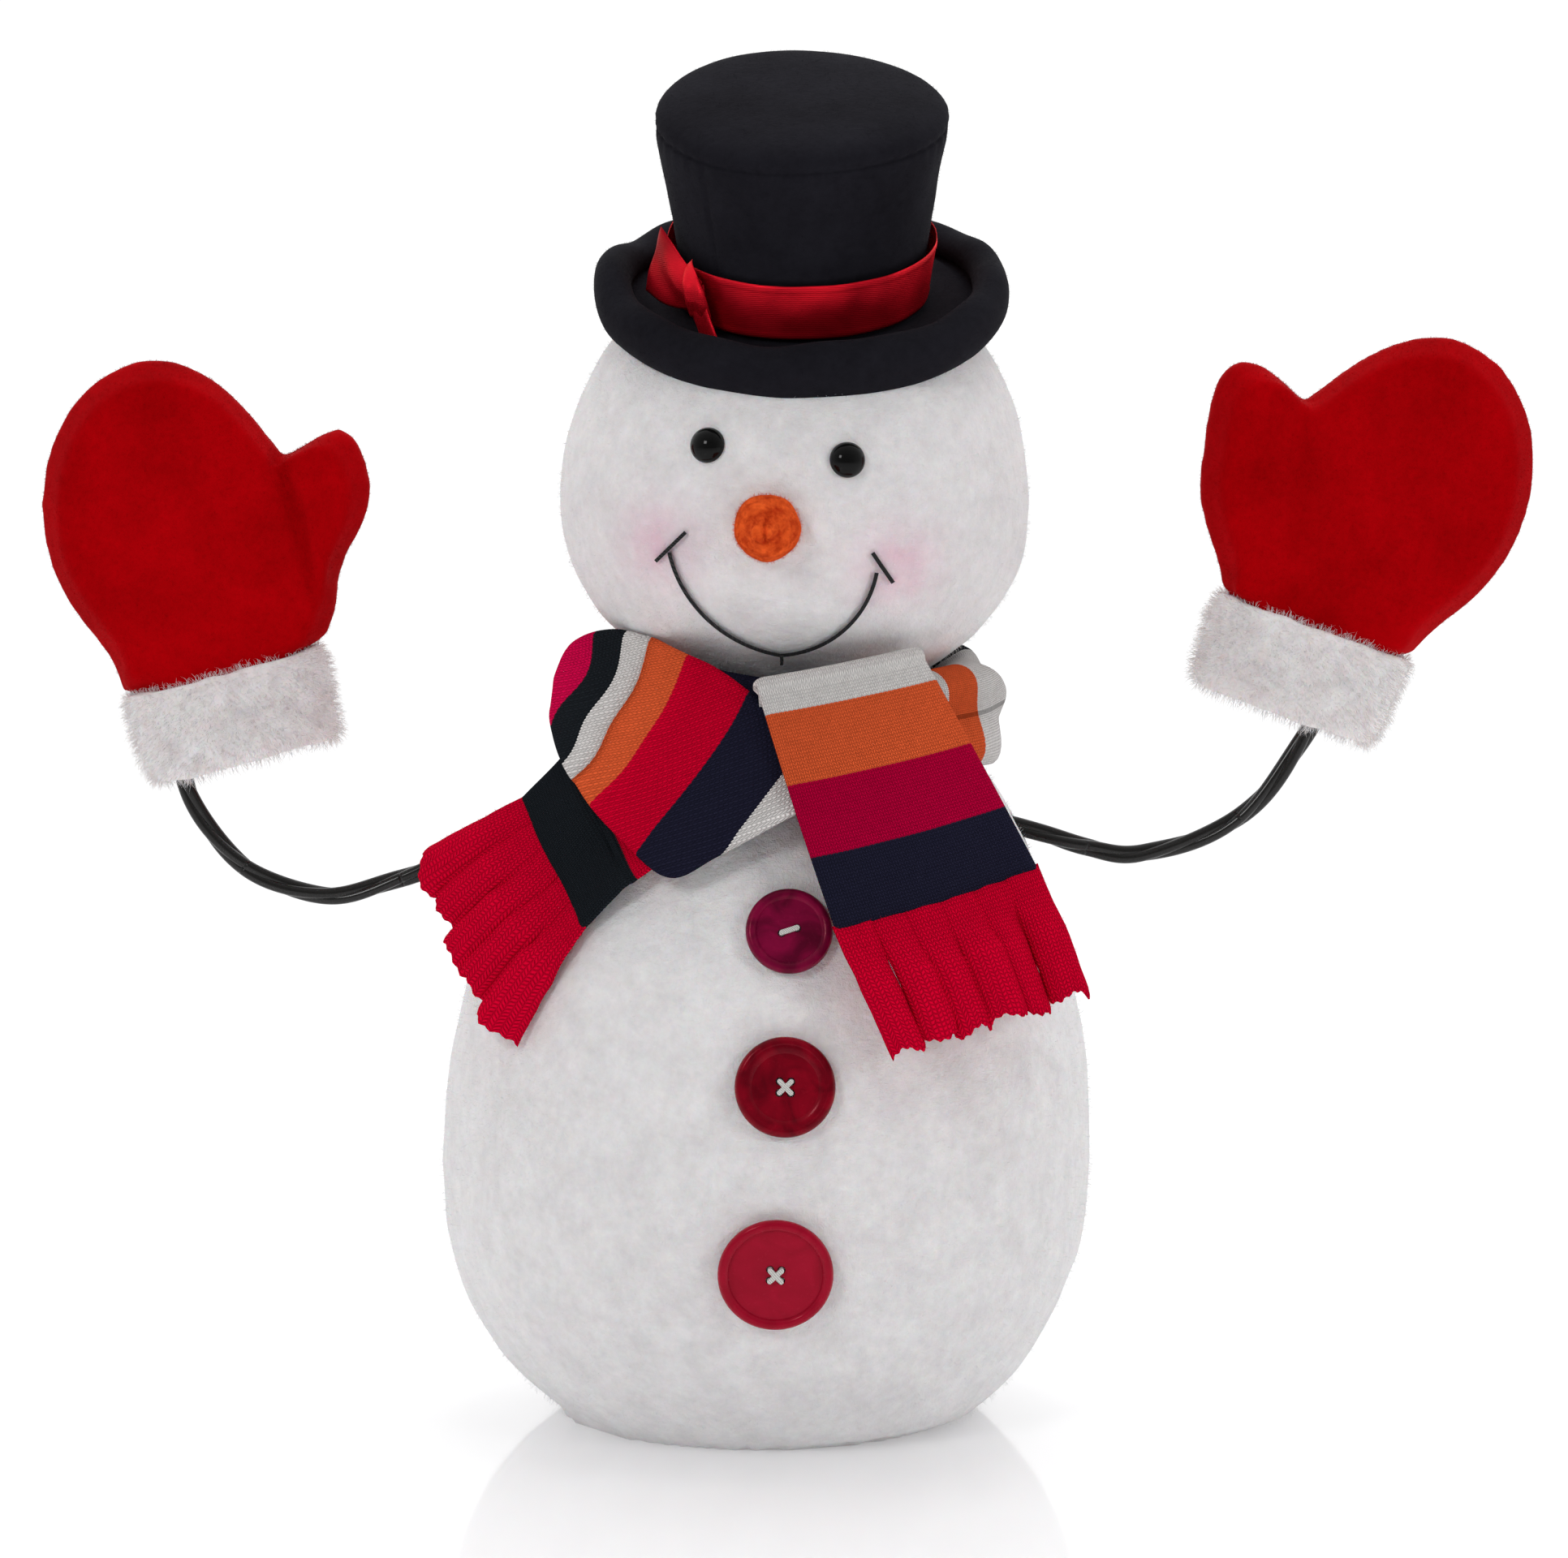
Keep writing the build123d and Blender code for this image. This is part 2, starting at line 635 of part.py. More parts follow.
fringes = {
    "left": (tail_planes["left"], left_tail_l + tail_gap, left_tail_w, left_fringe_fan),
    "right": (tail_planes["right"], tail_gap, (fringe_root[0] - fringe_root[1]).length, right_fringe_fan),
}
for side, (plane, start, root_w, fan) in fringes.items():
    with BuildPart() as fringe:
        with BuildSketch(plane.offset(-strip_t / 2)):
            for strip in range(strip_count[side]):
                low = strip / strip_count[side] - 0.5
                high = (strip + 1) / strip_count[side] - 0.5
                Polygon((start, low * root_w + strip_gap / 2), (start, high * root_w - strip_gap / 2),
                        (start + fringe_l, high * fan - strip_gap), (start + fringe_l, low * fan + strip_gap),
                        align=None)
        extrude(amount=strip_t)
    save(fringe, f"{side}_scarf_fringe")

# ---------------------------------------------------------------- arms and mittens

inner_share = 1 - glove_t / glove_mid
stuffing_share = 1 - (glove_t + fit_gap) / glove_mid


def glove_section(mirrored, share):
    """The mitten's outline, shrunk towards its middle to a share of its size."""
    edges = [[(mirrored * x * share, glove_mid + (y - glove_mid) * share) for x, y in edge]
             for edge in (glove_edge, finger_edge)]
    with BuildSketch() as section:
        with BuildLine():
            Spline(edges[0])
            Spline(edges[1])
            Line(edges[1][-1], edges[0][0])
        make_face()
    return section.sketch


for side, mirrored in (("left", 1), ("right", -1)):
    upper_points = (shoulder[side], upper_bend[side], elbow[side])
    elbow_heading = end_heading(upper_points, heading[side])
    fore_points = (elbow[side], fore_bend[side], wrist[side])
    wrist_heading = end_heading(fore_points, elbow_heading)
    hand_points = (wrist[side], hand_tip[side])
    elbow_stop = Plane(origin=in_space(along(elbow[side], elbow_heading, -wire_room)),
                       z_dir=in_space(along((0, 0), elbow_heading, 1)))
    wrist_stop = Plane(origin=in_space(along(wrist[side], wrist_heading, -joint_gap)),
                       z_dir=in_space(along((0, 0), wrist_heading, 1)))

    with BuildPart() as upper_wire:
        add(wire(upper_points, heading[side], wire_r))
        split(bisect_by=elbow_stop, keep=Keep.BOTTOM)
        with Locations(in_space(shoulder[side])):
            Sphere(wire_r)
    save(upper_wire, f"{side}_upper_wire")

    with BuildPart() as forearm_wire:
        add(wire(fore_points, elbow_heading, wire_r))
        split(bisect_by=wrist_stop, keep=Keep.BOTTOM)
        with Locations(in_space(elbow[side])):
            Sphere(wire_r)
    save(forearm_wire, f"{side}_forearm_wire")

    with BuildPart() as hand_wire:
        add(wire(hand_points, wrist_heading, wire_r))
        with Locations(in_space(hand_tip[side])):
            Sphere(wire_r)
    save(hand_wire, f"{side}_hand_wire")

    with BuildPart() as hand_channel:
        add(wire(hand_points, wrist_heading, wire_r + fit_gap))
        with Locations(in_space(hand_tip[side])):
            Sphere(wire_r + fit_gap)

    cuff_plane = Plane(Location(in_space(cuff_mid[side]), (0, cuff_lean[side], 0)))
    turn = math.radians(glove_lean[side])
    glove_plane = Plane(origin=in_space(cuff_mid[side]),
                        x_dir=(math.cos(turn), 0, -math.sin(turn)), z_dir=(0, -1, 0))

    with BuildPart() as glove_inside:
        for rise, share in ((0, inner_share), (glove_half_t - glove_t, inner_share * glove_top_share)):
            with BuildSketch(glove_plane.offset(rise)):
                add(glove_section(mirrored, share))
        loft()

    with BuildPart() as mitten_palm:
        for rise, share in ((fit_gap / 2, 1), (glove_half_t, glove_top_share)):
            with BuildSketch(glove_plane.offset(rise)):
                add(glove_section(mirrored, share))
        loft()
        add(glove_inside.part, mode=Mode.SUBTRACT)
        split(bisect_by=cuff_plane.offset(fit_gap), keep=Keep.TOP)
    save(mitten_palm, f"{side}_mitten_palm")

    with BuildPart() as mitten_back:
        add(mitten_palm.part.mirror(Plane.XZ))
    save(mitten_back, f"{side}_mitten_back")

    with BuildPart() as mitten_stuffing:
        for rise, share in ((0, stuffing_share),
                            (glove_half_t - glove_t - fit_gap, stuffing_share * glove_top_share)):
            with BuildSketch(glove_plane.offset(rise)):
                add(glove_section(mirrored, share))
        loft()
        mirror(about=Plane.XZ)
        split(bisect_by=cuff_plane, keep=Keep.TOP)
        with BuildSketch(cuff_plane.offset(-cuff_h + cuff_t)):
            Ellipse(cuff_w / 2 - cuff_t - fit_gap, cuff_d / 2 - cuff_t - fit_gap)
        extrude(amount=cuff_h - cuff_t + fit_gap)
        add(hand_channel.part, mode=Mode.SUBTRACT)
    save(mitten_stuffing, f"{side}_mitten_stuffing")

    with BuildPart() as mitten_cuff:
        with BuildSketch(cuff_plane):
            Ellipse(cuff_w / 2, cuff_d / 2)
            Ellipse(cuff_w / 2 - cuff_t, cuff_d / 2 - cuff_t, mode=Mode.SUBTRACT)
        extrude(amount=-cuff_h)
    save(mitten_cuff, f"{side}_mitten_cuff")
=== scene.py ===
import bpy
import bmesh
import json
import math
import numpy as np
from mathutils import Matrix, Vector, noise
from mathutils.bvhtree import BVHTree


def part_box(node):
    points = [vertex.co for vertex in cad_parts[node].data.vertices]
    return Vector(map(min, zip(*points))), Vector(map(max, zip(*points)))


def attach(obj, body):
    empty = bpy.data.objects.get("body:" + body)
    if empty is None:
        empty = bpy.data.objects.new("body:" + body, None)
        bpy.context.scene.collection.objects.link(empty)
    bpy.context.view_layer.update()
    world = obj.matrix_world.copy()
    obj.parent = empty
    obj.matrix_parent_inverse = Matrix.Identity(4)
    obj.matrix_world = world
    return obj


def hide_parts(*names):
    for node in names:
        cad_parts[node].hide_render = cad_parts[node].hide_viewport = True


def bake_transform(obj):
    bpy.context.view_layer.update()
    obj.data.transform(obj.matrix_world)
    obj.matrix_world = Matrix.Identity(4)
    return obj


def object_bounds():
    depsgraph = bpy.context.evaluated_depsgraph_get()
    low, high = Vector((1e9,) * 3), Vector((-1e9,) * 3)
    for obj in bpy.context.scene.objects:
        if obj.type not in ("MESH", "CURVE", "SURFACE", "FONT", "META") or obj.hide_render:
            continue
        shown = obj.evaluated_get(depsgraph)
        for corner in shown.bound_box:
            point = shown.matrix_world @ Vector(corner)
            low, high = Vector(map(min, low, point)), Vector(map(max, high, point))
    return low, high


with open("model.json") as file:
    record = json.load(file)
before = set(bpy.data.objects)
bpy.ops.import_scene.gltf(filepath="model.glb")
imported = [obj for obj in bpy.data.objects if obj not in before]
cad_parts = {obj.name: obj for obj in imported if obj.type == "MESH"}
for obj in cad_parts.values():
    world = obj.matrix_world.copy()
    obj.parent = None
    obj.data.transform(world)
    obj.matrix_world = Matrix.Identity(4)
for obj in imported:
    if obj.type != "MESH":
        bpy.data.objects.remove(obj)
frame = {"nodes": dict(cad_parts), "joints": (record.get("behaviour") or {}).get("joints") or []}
cad_low, cad_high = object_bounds()
nodes = frame["nodes"]
joints = {joint["name"]: joint for joint in frame["joints"]}
MM = 0.001
SAME_SPOT = 1e-6
SIDES = ("left", "right")
FULL_TURN = 2 * math.pi


# ---------------------------------------------------------------- mesh helpers

def unit(vectors):
    return vectors / np.maximum(np.linalg.norm(vectors, axis=-1, keepdims=True), 1e-12)


def points_of(obj, what="co"):
    values = np.empty(len(obj.data.vertices) * 3, np.float32)
    obj.data.vertices.foreach_get(what, values)
    return values.reshape(-1, 3).astype(float)


def put_points(obj, points):
    obj.data.vertices.foreach_set("co", np.asarray(points, np.float32).ravel())
    obj.data.update()


def new_piece(name, points, faces, uses=None):
    """A smooth mesh piece of that name, with its material."""
    mesh = bpy.data.meshes.new(name)
    mesh.from_pydata([tuple(p) for p in points], [], faces)
    mesh.update()
    mesh.shade_smooth()
    obj = bpy.data.objects.new(name, mesh)
    bpy.context.scene.collection.objects.link(obj)
    if uses:
        mesh.materials.append(uses)
    return obj


def add_value(obj, name, values):
    """A number on each point, for a material to read."""
    made = obj.data.attributes.new(name, "FLOAT", "POINT")
    made.data.foreach_set("value", np.asarray(values, np.float32).ravel())


def ripple(points, size, seed=0):
    """Smooth noise, about -1 to 1, whose waves are as long as the size."""
    shift = Vector((seed * 7.3, seed * 3.1, seed * 5.7))
    return np.array([noise.noise(Vector(p) / size + shift) for p in np.asarray(points).reshape(-1, 3)])


def push(obj, amount):
    """Moves each point along its normal."""
    put_points(obj, points_of(obj) + points_of(obj, "normal") * np.asarray(amount)[:, None])


def cad_points(*names):
    return np.concatenate([points_of(nodes[name]) for name in names])


def cad_mesh(*names):
    """The points and faces of CAD nodes, as one mesh."""
    points, faces = [], []
    for name in names:
        mesh = nodes[name].data
        start = len(points)
        points += [vert.co.copy() for vert in mesh.vertices]
        faces += [[start + i for i in face.vertices] for face in mesh.polygons]
    return points, faces


def cad_tree(*names):
    return BVHTree.FromPolygons(*cad_mesh(*names))


def distance_to(points, *names):
    tree = cad_tree(*names)
    return np.array([tree.find_nearest(Vector(p))[3] for p in points])


def middle(*names):
    corners = np.array([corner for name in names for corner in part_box(name)])
    return (corners.min(0) + corners.max(0)) / 2


def axes_of(name):
    """A node's middle and its three main directions, the longest first, by area."""
    mesh = nodes[name].data
    area = np.array([face.area for face in mesh.polygons])
    spot = np.array([face.center for face in mesh.polygons])
    mean = (spot * area[:, None]).sum(0) / area.sum()
    spread = (spot - mean).T @ ((spot - mean) * area[:, None])
    return mean, np.linalg.eigh(spread)[1].T[::-1]


def skin(name, covers, level, uses):
    """An even closed mesh laid on the outside of CAD nodes, as seen from their middle."""
    tree = cad_tree(*covers)
    centre = Vector(middle(*covers))
    ball = bmesh.new()
    bmesh.ops.create_icosphere(ball, subdivisions=level, radius=1)
    ways = np.array([vert.co.normalized() for vert in ball.verts])
    edges = np.array([[vert.index for vert in edge.verts] for edge in ball.edges])
    faces = [[vert.index for vert in face.verts] for face in ball.faces]
    ball.free()
    far = 1.0
    radius = np.zeros(len(ways))
    for i, way in enumerate(ways):
        hit = tree.ray_cast(centre + Vector(way) * far, -Vector(way), far)
        radius[i] = far - hit[3] if hit[0] is not None else 0
    count = np.bincount(edges.ravel(), minlength=len(ways))
    for _ in range(6):
        total = (np.bincount(edges[:, 0], radius[edges[:, 1]], len(ways))
                 + np.bincount(edges[:, 1], radius[edges[:, 0]], len(ways)))
        mean = total / count
        radius = np.where(radius < mean - 0.8 * MM, mean, radius)
    return new_piece(name, np.array(centre) + ways * radius[:, None], faces, uses)


def remeshed(name, covers, voxel, uses, rounds=8):
    """The outside of CAD nodes joined into one even mesh, softened."""
    obj = new_piece(name, *cad_mesh(*covers))
    for kind, settings in (("REMESH", {"mode": "VOXEL", "voxel_size": voxel}),
                           ("SMOOTH", {"factor": 0.5, "iterations": rounds})):
        modifier = obj.modifiers.new(kind.lower(), kind)
        for key, value in settings.items():
            setattr(modifier, key, value)
    bake_modifiers(obj)
    keep_largest(obj)
    obj.data.shade_smooth()
    obj.data.materials.clear()
    obj.data.materials.append(uses)
    return obj


def bake_modifiers(obj):
    """The mesh as the modifiers leave it, with none left on."""
    bpy.context.view_layer.update()
    made = bpy.data.meshes.new_from_object(obj.evaluated_get(bpy.context.evaluated_depsgraph_get()))
    obj.modifiers.clear()
    obj.data = made


def islands(work):
    """The separate parts of a mesh, each as a list of its points."""
    left, groups = set(work.verts), []
    while left:
        queue = [left.pop()]
        group = list(queue)
        while queue:
            for edge in queue.pop().link_edges:
                for vert in edge.verts:
                    if vert in left:
                        left.discard(vert)
                        group.append(vert)
                        queue.append(vert)
        groups.append(group)
    return groups


def keep_largest(obj):
    """Drops the closed pockets that a remesh leaves inside."""
    work = bmesh.new()
    work.from_mesh(obj.data)
    spare = [vert for group in sorted(islands(work), key=len)[:-1] for vert in group]
    bmesh.ops.delete(work, geom=spare, context="VERTS")
    work.to_mesh(obj.data)
    work.free()


def softened(obj):
    """The mesh divided once and rounded."""
    modifier = obj.modifiers.new("subdivision", "SUBSURF")
    modifier.levels = modifier.render_levels = 1
    bake_modifiers(obj)


def face_outward(obj, join=False):
    """Turns every face outward, first joining the points that lie together where asked."""
    work = bmesh.new()
    work.from_mesh(obj.data)
    if join:
        bmesh.ops.remove_doubles(work, verts=work.verts, dist=SAME_SPOT)
    bmesh.ops.recalc_face_normals(work, faces=work.faces)
    work.to_mesh(obj.data)
    work.free()
    obj.data.shade_smooth()


def tube_faces(rows, columns, first=0):
    """The quads of a tube whose points are numbered from first, ring by ring."""
    return [(first + i * columns + j, first + i * columns + (j + 1) % columns,
             first + (i + 1) * columns + (j + 1) % columns, first + (i + 1) * columns + j)
            for i in range(rows - 1) for j in range(columns)]


def pile(name, base, body, count, length, thick, lean, uses, seed, comb=None, where=None):
    """Closed bent fibres that stand on a mesh. comb is a direction that they all lie over towards."""
    random = np.random.default_rng(seed)
    mesh = base.data
    mesh.calc_loop_triangles()
    corner = np.empty(len(mesh.loop_triangles) * 3, np.int32)
    mesh.loop_triangles.foreach_get("vertices", corner)
    corner = corner.reshape(-1, 3)
    spot, normal = points_of(base), points_of(base, "normal")
    a, b, c = (spot[corner[:, k]] for k in range(3))
    area = np.linalg.norm(np.cross(b - a, c - a), axis=1)
    if where is not None:
        area = area * where((a + b + c) / 3)
    pick = random.choice(len(corner), count, p=area / area.sum())
    s, t = random.random(count), random.random(count)
    over = s + t > 1
    s[over], t[over] = 1 - s[over], 1 - t[over]
    up = unit(normal[corner[pick]].mean(1))
    root = a[pick] + (b - a)[pick] * s[:, None] + (c - a)[pick] * t[:, None]
    side = unit(np.cross(up, random.normal(size=(count, 3))))
    if comb is not None:
        combed = 1.6
        side = unit(side + combed * np.asarray(comb))
    shortest, longest, curled = 0.45, 1.15, 0.25
    tall = length * random.uniform(shortest, longest, count)[:, None]
    curl = random.normal(size=(count, 3)) * curled
    first = root + unit(up + side * lean * 0.5) * tall * 0.5
    tip = first + unit(up * 0.7 + side * lean + curl) * tall * 0.5
    across = unit(np.cross(up, side))
    other = unit(np.cross(across, up))
    rings = []
    sunk = 0.15
    for centre, r in ((root - up * tall * sunk, thick), (first, thick * 0.8)):
        for k in range(3):
            angle = 2 * math.pi * k / 3
            rings.append(centre + (across * math.cos(angle) + other * math.sin(angle)) * r)
    points = np.stack([*rings, tip], axis=1).reshape(-1, 3)
    shape = ((0, 2, 1), (0, 1, 4, 3), (1, 2, 5, 4), (2, 0, 3, 5), (3, 4, 6), (4, 5, 6), (5, 3, 6))
    faces = [[7 * i + k for k in face] for i in range(count) for face in shape]
    obj = new_piece(name, points, faces, uses)
    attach(obj, body)
    return obj


def cloth(name, mid, thick, across, along, uses, ring=False):
    """A closed sheet about a grid of points. across and along are its own lengths, for the knit."""
    rows, columns = mid.shape[:2]
    du = np.gradient(mid, axis=1)
    dv = np.gradient(mid, axis=0)
    if ring:
        du = np.roll(mid, -1, 1) - np.roll(mid, 1, 1)
    normal = unit(np.cross(du, dv))
    share = np.ones((rows, columns))
    for depth, part in enumerate((0.25, 0.72, 0.93)):
        share[depth, :] = np.minimum(share[depth, :], part)
        share[-1 - depth, :] = np.minimum(share[-1 - depth, :], part)
        if not ring:
            share[:, depth] = np.minimum(share[:, depth], part)
            share[:, -1 - depth] = np.minimum(share[:, -1 - depth], part)
    half = (share * thick / 2)[..., None] * normal
    points = np.concatenate([(mid + half).reshape(-1, 3), (mid - half).reshape(-1, 3)])
    size = rows * columns
    wrap = columns if ring else columns - 1
    faces = []
    for i in range(rows - 1):
        for j in range(wrap):
            k = (j + 1) % columns
            quad = (i * columns + j, i * columns + k, (i + 1) * columns + k, (i + 1) * columns + j)
            faces.append(quad)
            faces.append(tuple(size + q for q in reversed(quad)))
    for j in range(wrap):
        k = (j + 1) % columns
        low = (rows - 1) * columns
        faces.append((k, j, size + j, size + k))
        faces.append((low + j, low + k, size + low + k, size + low + j))
    if not ring:
        for i in range(rows - 1):
            a, b = i * columns, (i + 1) * columns
            faces.append((a, b, size + b, size + a))
            a, b = a + columns - 1, b + columns - 1
            faces.append((b, a, size + a, size + b))
    obj = new_piece(name, points, faces, uses)
    for key, values in (("across", across), ("along", along)):
        add_value(obj, key, np.concatenate([values.ravel(), values.ravel()]) / MM)
    return obj


def smooth_line(points, count):
    """A Catmull-Rom line through points, evenly sampled."""
    points = np.asarray(points, float)
    full = np.concatenate([[2 * points[0] - points[1]], points, [2 * points[-1] - points[-2]]])
    line = []
    for p0, p1, p2, p3 in zip(full, full[1:], full[2:], full[3:]):
        t = np.linspace(0, 1, 24, endpoint=False)[:, None]
        line.append(0.5 * (2 * p1 + (p2 - p0) * t + (2 * p0 - 5 * p1 + 4 * p2 - p3) * t**2
                           + (3 * p1 - p0 - 3 * p2 + p3) * t**3))
    line = np.concatenate([*line, points[-1:]])
    run = np.concatenate([[0], np.cumsum(np.linalg.norm(np.diff(line, axis=0), axis=1))])
    even = np.linspace(0, run[-1], count)
    return np.stack([np.interp(even, run, line[:, k]) for k in range(3)], axis=1)


# ---------------------------------------------------------------- node helpers

def fill(tree, made, inputs):
    """Links or sets a node's inputs."""
    for key, value in inputs.items():
        if isinstance(value, bpy.types.NodeSocket):
            tree.links.new(value, made.inputs[key])
        else:
            made.inputs[key].default_value = value
    return made


def node(tree, kind, inputs=None, **settings):
    made = tree.nodes.new("ShaderNode" + kind)
    for key, value in settings.items():
        setattr(made, key, value)
    return fill(tree, made, inputs or {})


def calc(tree, operation, a, b=0.0, clamp=False):
    return node(tree, "Math", {0: a, 1: b}, operation=operation, use_clamp=clamp).outputs[0]


def times(tree, a, b):
    return calc(tree, "MULTIPLY", a, b)


def plus(tree, a, b):
    return calc(tree, "ADD", a, b)


def spread(tree, value, low, high):
    """The value with low to high spread out over 0 to 1."""
    return node(tree, "MapRange", {"Value": value, "From Min": low, "From Max": high}).outputs[0]


def blend_colours(tree, share, a, b):
    made = node(tree, "Mix", {"Factor": share, 6: a, 7: b}, data_type="RGBA")
    return made.outputs[2]


def noise_at(tree, scale, detail=3.0, place=None, rough=0.5):
    place = place or node(tree, "TexCoord").outputs["Object"]
    return node(tree, "TexNoise", {"Vector": place, "Scale": scale, "Detail": detail,
                                   "Roughness": rough}).outputs["Fac"]


def value_of(tree, name):
    return node(tree, "Attribute", attribute_name=name).outputs["Fac"]


def node_group(name, inputs, outputs):
    """An empty group of nodes with named sockets: its tree, its input node and its output node."""
    tree = bpy.data.node_groups.new(name, "ShaderNodeTree")
    for key, value in inputs.items():
        made = tree.interface.new_socket(key, in_out="INPUT", socket_type="NodeSocketFloat")
        made.default_value = value
    for key in outputs:
        tree.interface.new_socket(key, in_out="OUTPUT", socket_type="NodeSocketFloat")
    return tree, tree.nodes.new("NodeGroupInput"), tree.nodes.new("NodeGroupOutput")


def use_group(tree, group, **inputs):
    made = tree.nodes.new("ShaderNodeGroup")
    made.node_tree = group
    return fill(tree, made, inputs).outputs


def fibre_group():
    """Matted fibres: fine lines laid every way in soft clumps."""
    tree, start, end = node_group("matted fibres", {"Scale": 1.0}, ("Height", "Clumps", "Mottle"))
    place = node(tree, "TexCoord").outputs["Object"]
    bent = node(tree, "TexNoise", {"Vector": place, "Scale": 260.0, "Detail": 2.0})
    lines = []
    for turn, stretch in ((0.4, (1, 0.16, 1)), (1.7, (0.16, 1, 1)), (2.6, (1, 1, 0.16))):
        spot = node(tree, "Mapping", {"Vector": place, "Rotation": (turn, turn * 2, turn * 3),
                                      "Scale": stretch})
        wide = times(tree, start.outputs["Scale"], 1500.0)
        lines.append(node(tree, "TexNoise", {"Vector": spot.outputs[0], "Scale": wide, "Detail": 2.0,
                                             "Distortion": 0.6}).outputs["Fac"])
    fine = calc(tree, "MAXIMUM", calc(tree, "MAXIMUM", lines[0], lines[1]), lines[2])
    clumps = noise_at(tree, times(tree, start.outputs["Scale"], 330.0), 4.0, place, 0.6)
    mottle = noise_at(tree, times(tree, start.outputs["Scale"], 75.0), 5.0, place, 0.65)
    height = plus(tree, times(tree, fine, 0.45), times(tree, clumps, 0.8))
    tree.links.new(height, end.inputs["Height"])
    tree.links.new(plus(tree, times(tree, clumps, 0.5),
                        times(tree, bent.outputs["Fac"], 0.5)), end.inputs["Clumps"])
    tree.links.new(mottle, end.inputs["Mottle"])
    return tree


def knit_group():
    """Plain knitting: columns of little V stitches, from the cloth's own lengths in millimetres."""
    tree, start, end = node_group("plain knit", {"Across": 0.0, "Along": 0.0, "Stitch": 1.3},
                                  ("Height", "Gap"))
    across = calc(tree, "DIVIDE", start.outputs["Across"], start.outputs["Stitch"])
    along = calc(tree, "DIVIDE", start.outputs["Along"], times(tree, start.outputs["Stitch"], 0.75))
    x = calc(tree, "SUBTRACT", times(tree, calc(tree, "FRACT", across), 2.0), 1.0)
    side = calc(tree, "ABSOLUTE", x)
    y = calc(tree, "FRACT", calc(tree, "SUBTRACT", along, times(tree, side, 0.55)))
    leg = calc(tree, "SINE", times(tree, y, math.pi))
    column = calc(tree, "SINE", times(tree, side, math.pi))
    height = times(tree, calc(tree, "POWER", calc(tree, "MAXIMUM", leg, 0.001), 0.6),
                  calc(tree, "POWER", calc(tree, "MAXIMUM", column, 0.001), 0.5))
    tree.links.new(height, end.inputs["Height"])
    tree.links.new(calc(tree, "SUBTRACT", 1.0, height, clamp=True), end.inputs["Gap"])
    return tree


def weave_group():
    """Over and under threads of a plain woven cloth."""
    tree, start, end = node_group("plain weave", {"Thread": 0.5}, ("Height",))
    place = node(tree, "SeparateXYZ", {0: node(tree, "TexCoord").outputs["Object"]})
    parts = []
    for key in ("X", "Y"):
        turns = calc(tree, "DIVIDE", times(tree, place.outputs[key], 1000 * math.pi),
                     start.outputs["Thread"])
        parts.append(calc(tree, "SINE", plus(tree, turns, place.outputs["Z"])))
    tree.links.new(times(tree, parts[0], parts[1]), end.inputs["Height"])
    return tree


def material(name, **values):
    """A material and its tree, with constant values set on the shader itself."""
    made = bpy.data.materials.new(name)
    made.use_nodes = True
    shader = made.node_tree.nodes["Principled BSDF"]
    for key, value in values.items():
        shader.inputs[key.replace("_", " ")].default_value = value
    return made, made.node_tree, shader


def raise_by(tree, shader, height, distance, strength=1.0):
    bump = node(tree, "Bump", {"Height": height, "Distance": distance, "Strength": strength})
    tree.links.new(bump.outputs["Normal"], shader.inputs["Normal"])


def colour_by(tree, shader, share, a, b):
    colour = blend_colours(tree, share, (*a, 1), (*b, 1))
    tree.links.new(colour, shader.inputs["Base Color"])
    return colour


FIBRES = fibre_group()
KNIT = knit_group()
WEAVE = weave_group()

NAVY = (0.020, 0.020, 0.043)
BOTTLE = (0.017, 0.021, 0.026)
CREAM = (0.97, 0.94, 0.92)
ORANGE = (0.98, 0.145, 0.044)
SCARLET = (0.84, 0.001, 0.034)
CRIMSON = (0.58, 0.001, 0.050)
ROSE = (0.82, 0.003, 0.085)


# ---------------------------------------------------------------- materials

def fleece(name, light, dark, with_blush=False):
    made, tree, shader = material(name, Roughness=0.95, Sheen_Weight=0.35, Sheen_Roughness=0.5,
                                  Specular_IOR_Level=0.1, Subsurface_Weight=0.3, Subsurface_Scale=0.003)
    felt = use_group(tree, FIBRES, Scale=1.0)
    share = plus(tree, times(tree, felt["Mottle"], 0.6), times(tree, felt["Clumps"], 0.4))
    share = spread(tree, share, 0.36, 0.64)
    colour = colour_by(tree, shader, share, dark, light)
    if with_blush:
        pink = node(tree, "Mix", {"Factor": value_of(tree, "blush"), 6: colour, 7: (0.82, 0.38, 0.54, 1)},
                    data_type="RGBA").outputs[2]
        tree.links.new(pink, shader.inputs["Base Color"])
    raise_by(tree, shader, felt["Height"], 0.0012, 0.8)
    return made


def velvet(name, deep, bright, sheen_tint, sheen):
    made, tree, shader = material(name, Roughness=0.9, Specular_IOR_Level=0.1, Sheen_Weight=sheen,
                                  Sheen_Roughness=0.35, Sheen_Tint=(*sheen_tint, 1),
                                  Specular_Tint=(*sheen_tint, 1))
    nap = use_group(tree, FIBRES, Scale=1.6)
    brushed = noise_at(tree, 34.0, 4.0)
    share = plus(tree, times(tree, brushed, 0.6), times(tree, nap["Clumps"], 0.4))
    share = spread(tree, share, 0.32, 0.66)
    colour_by(tree, shader, share, deep, bright)
    raise_by(tree, shader, nap["Height"], 0.0004, 0.55)
    return made


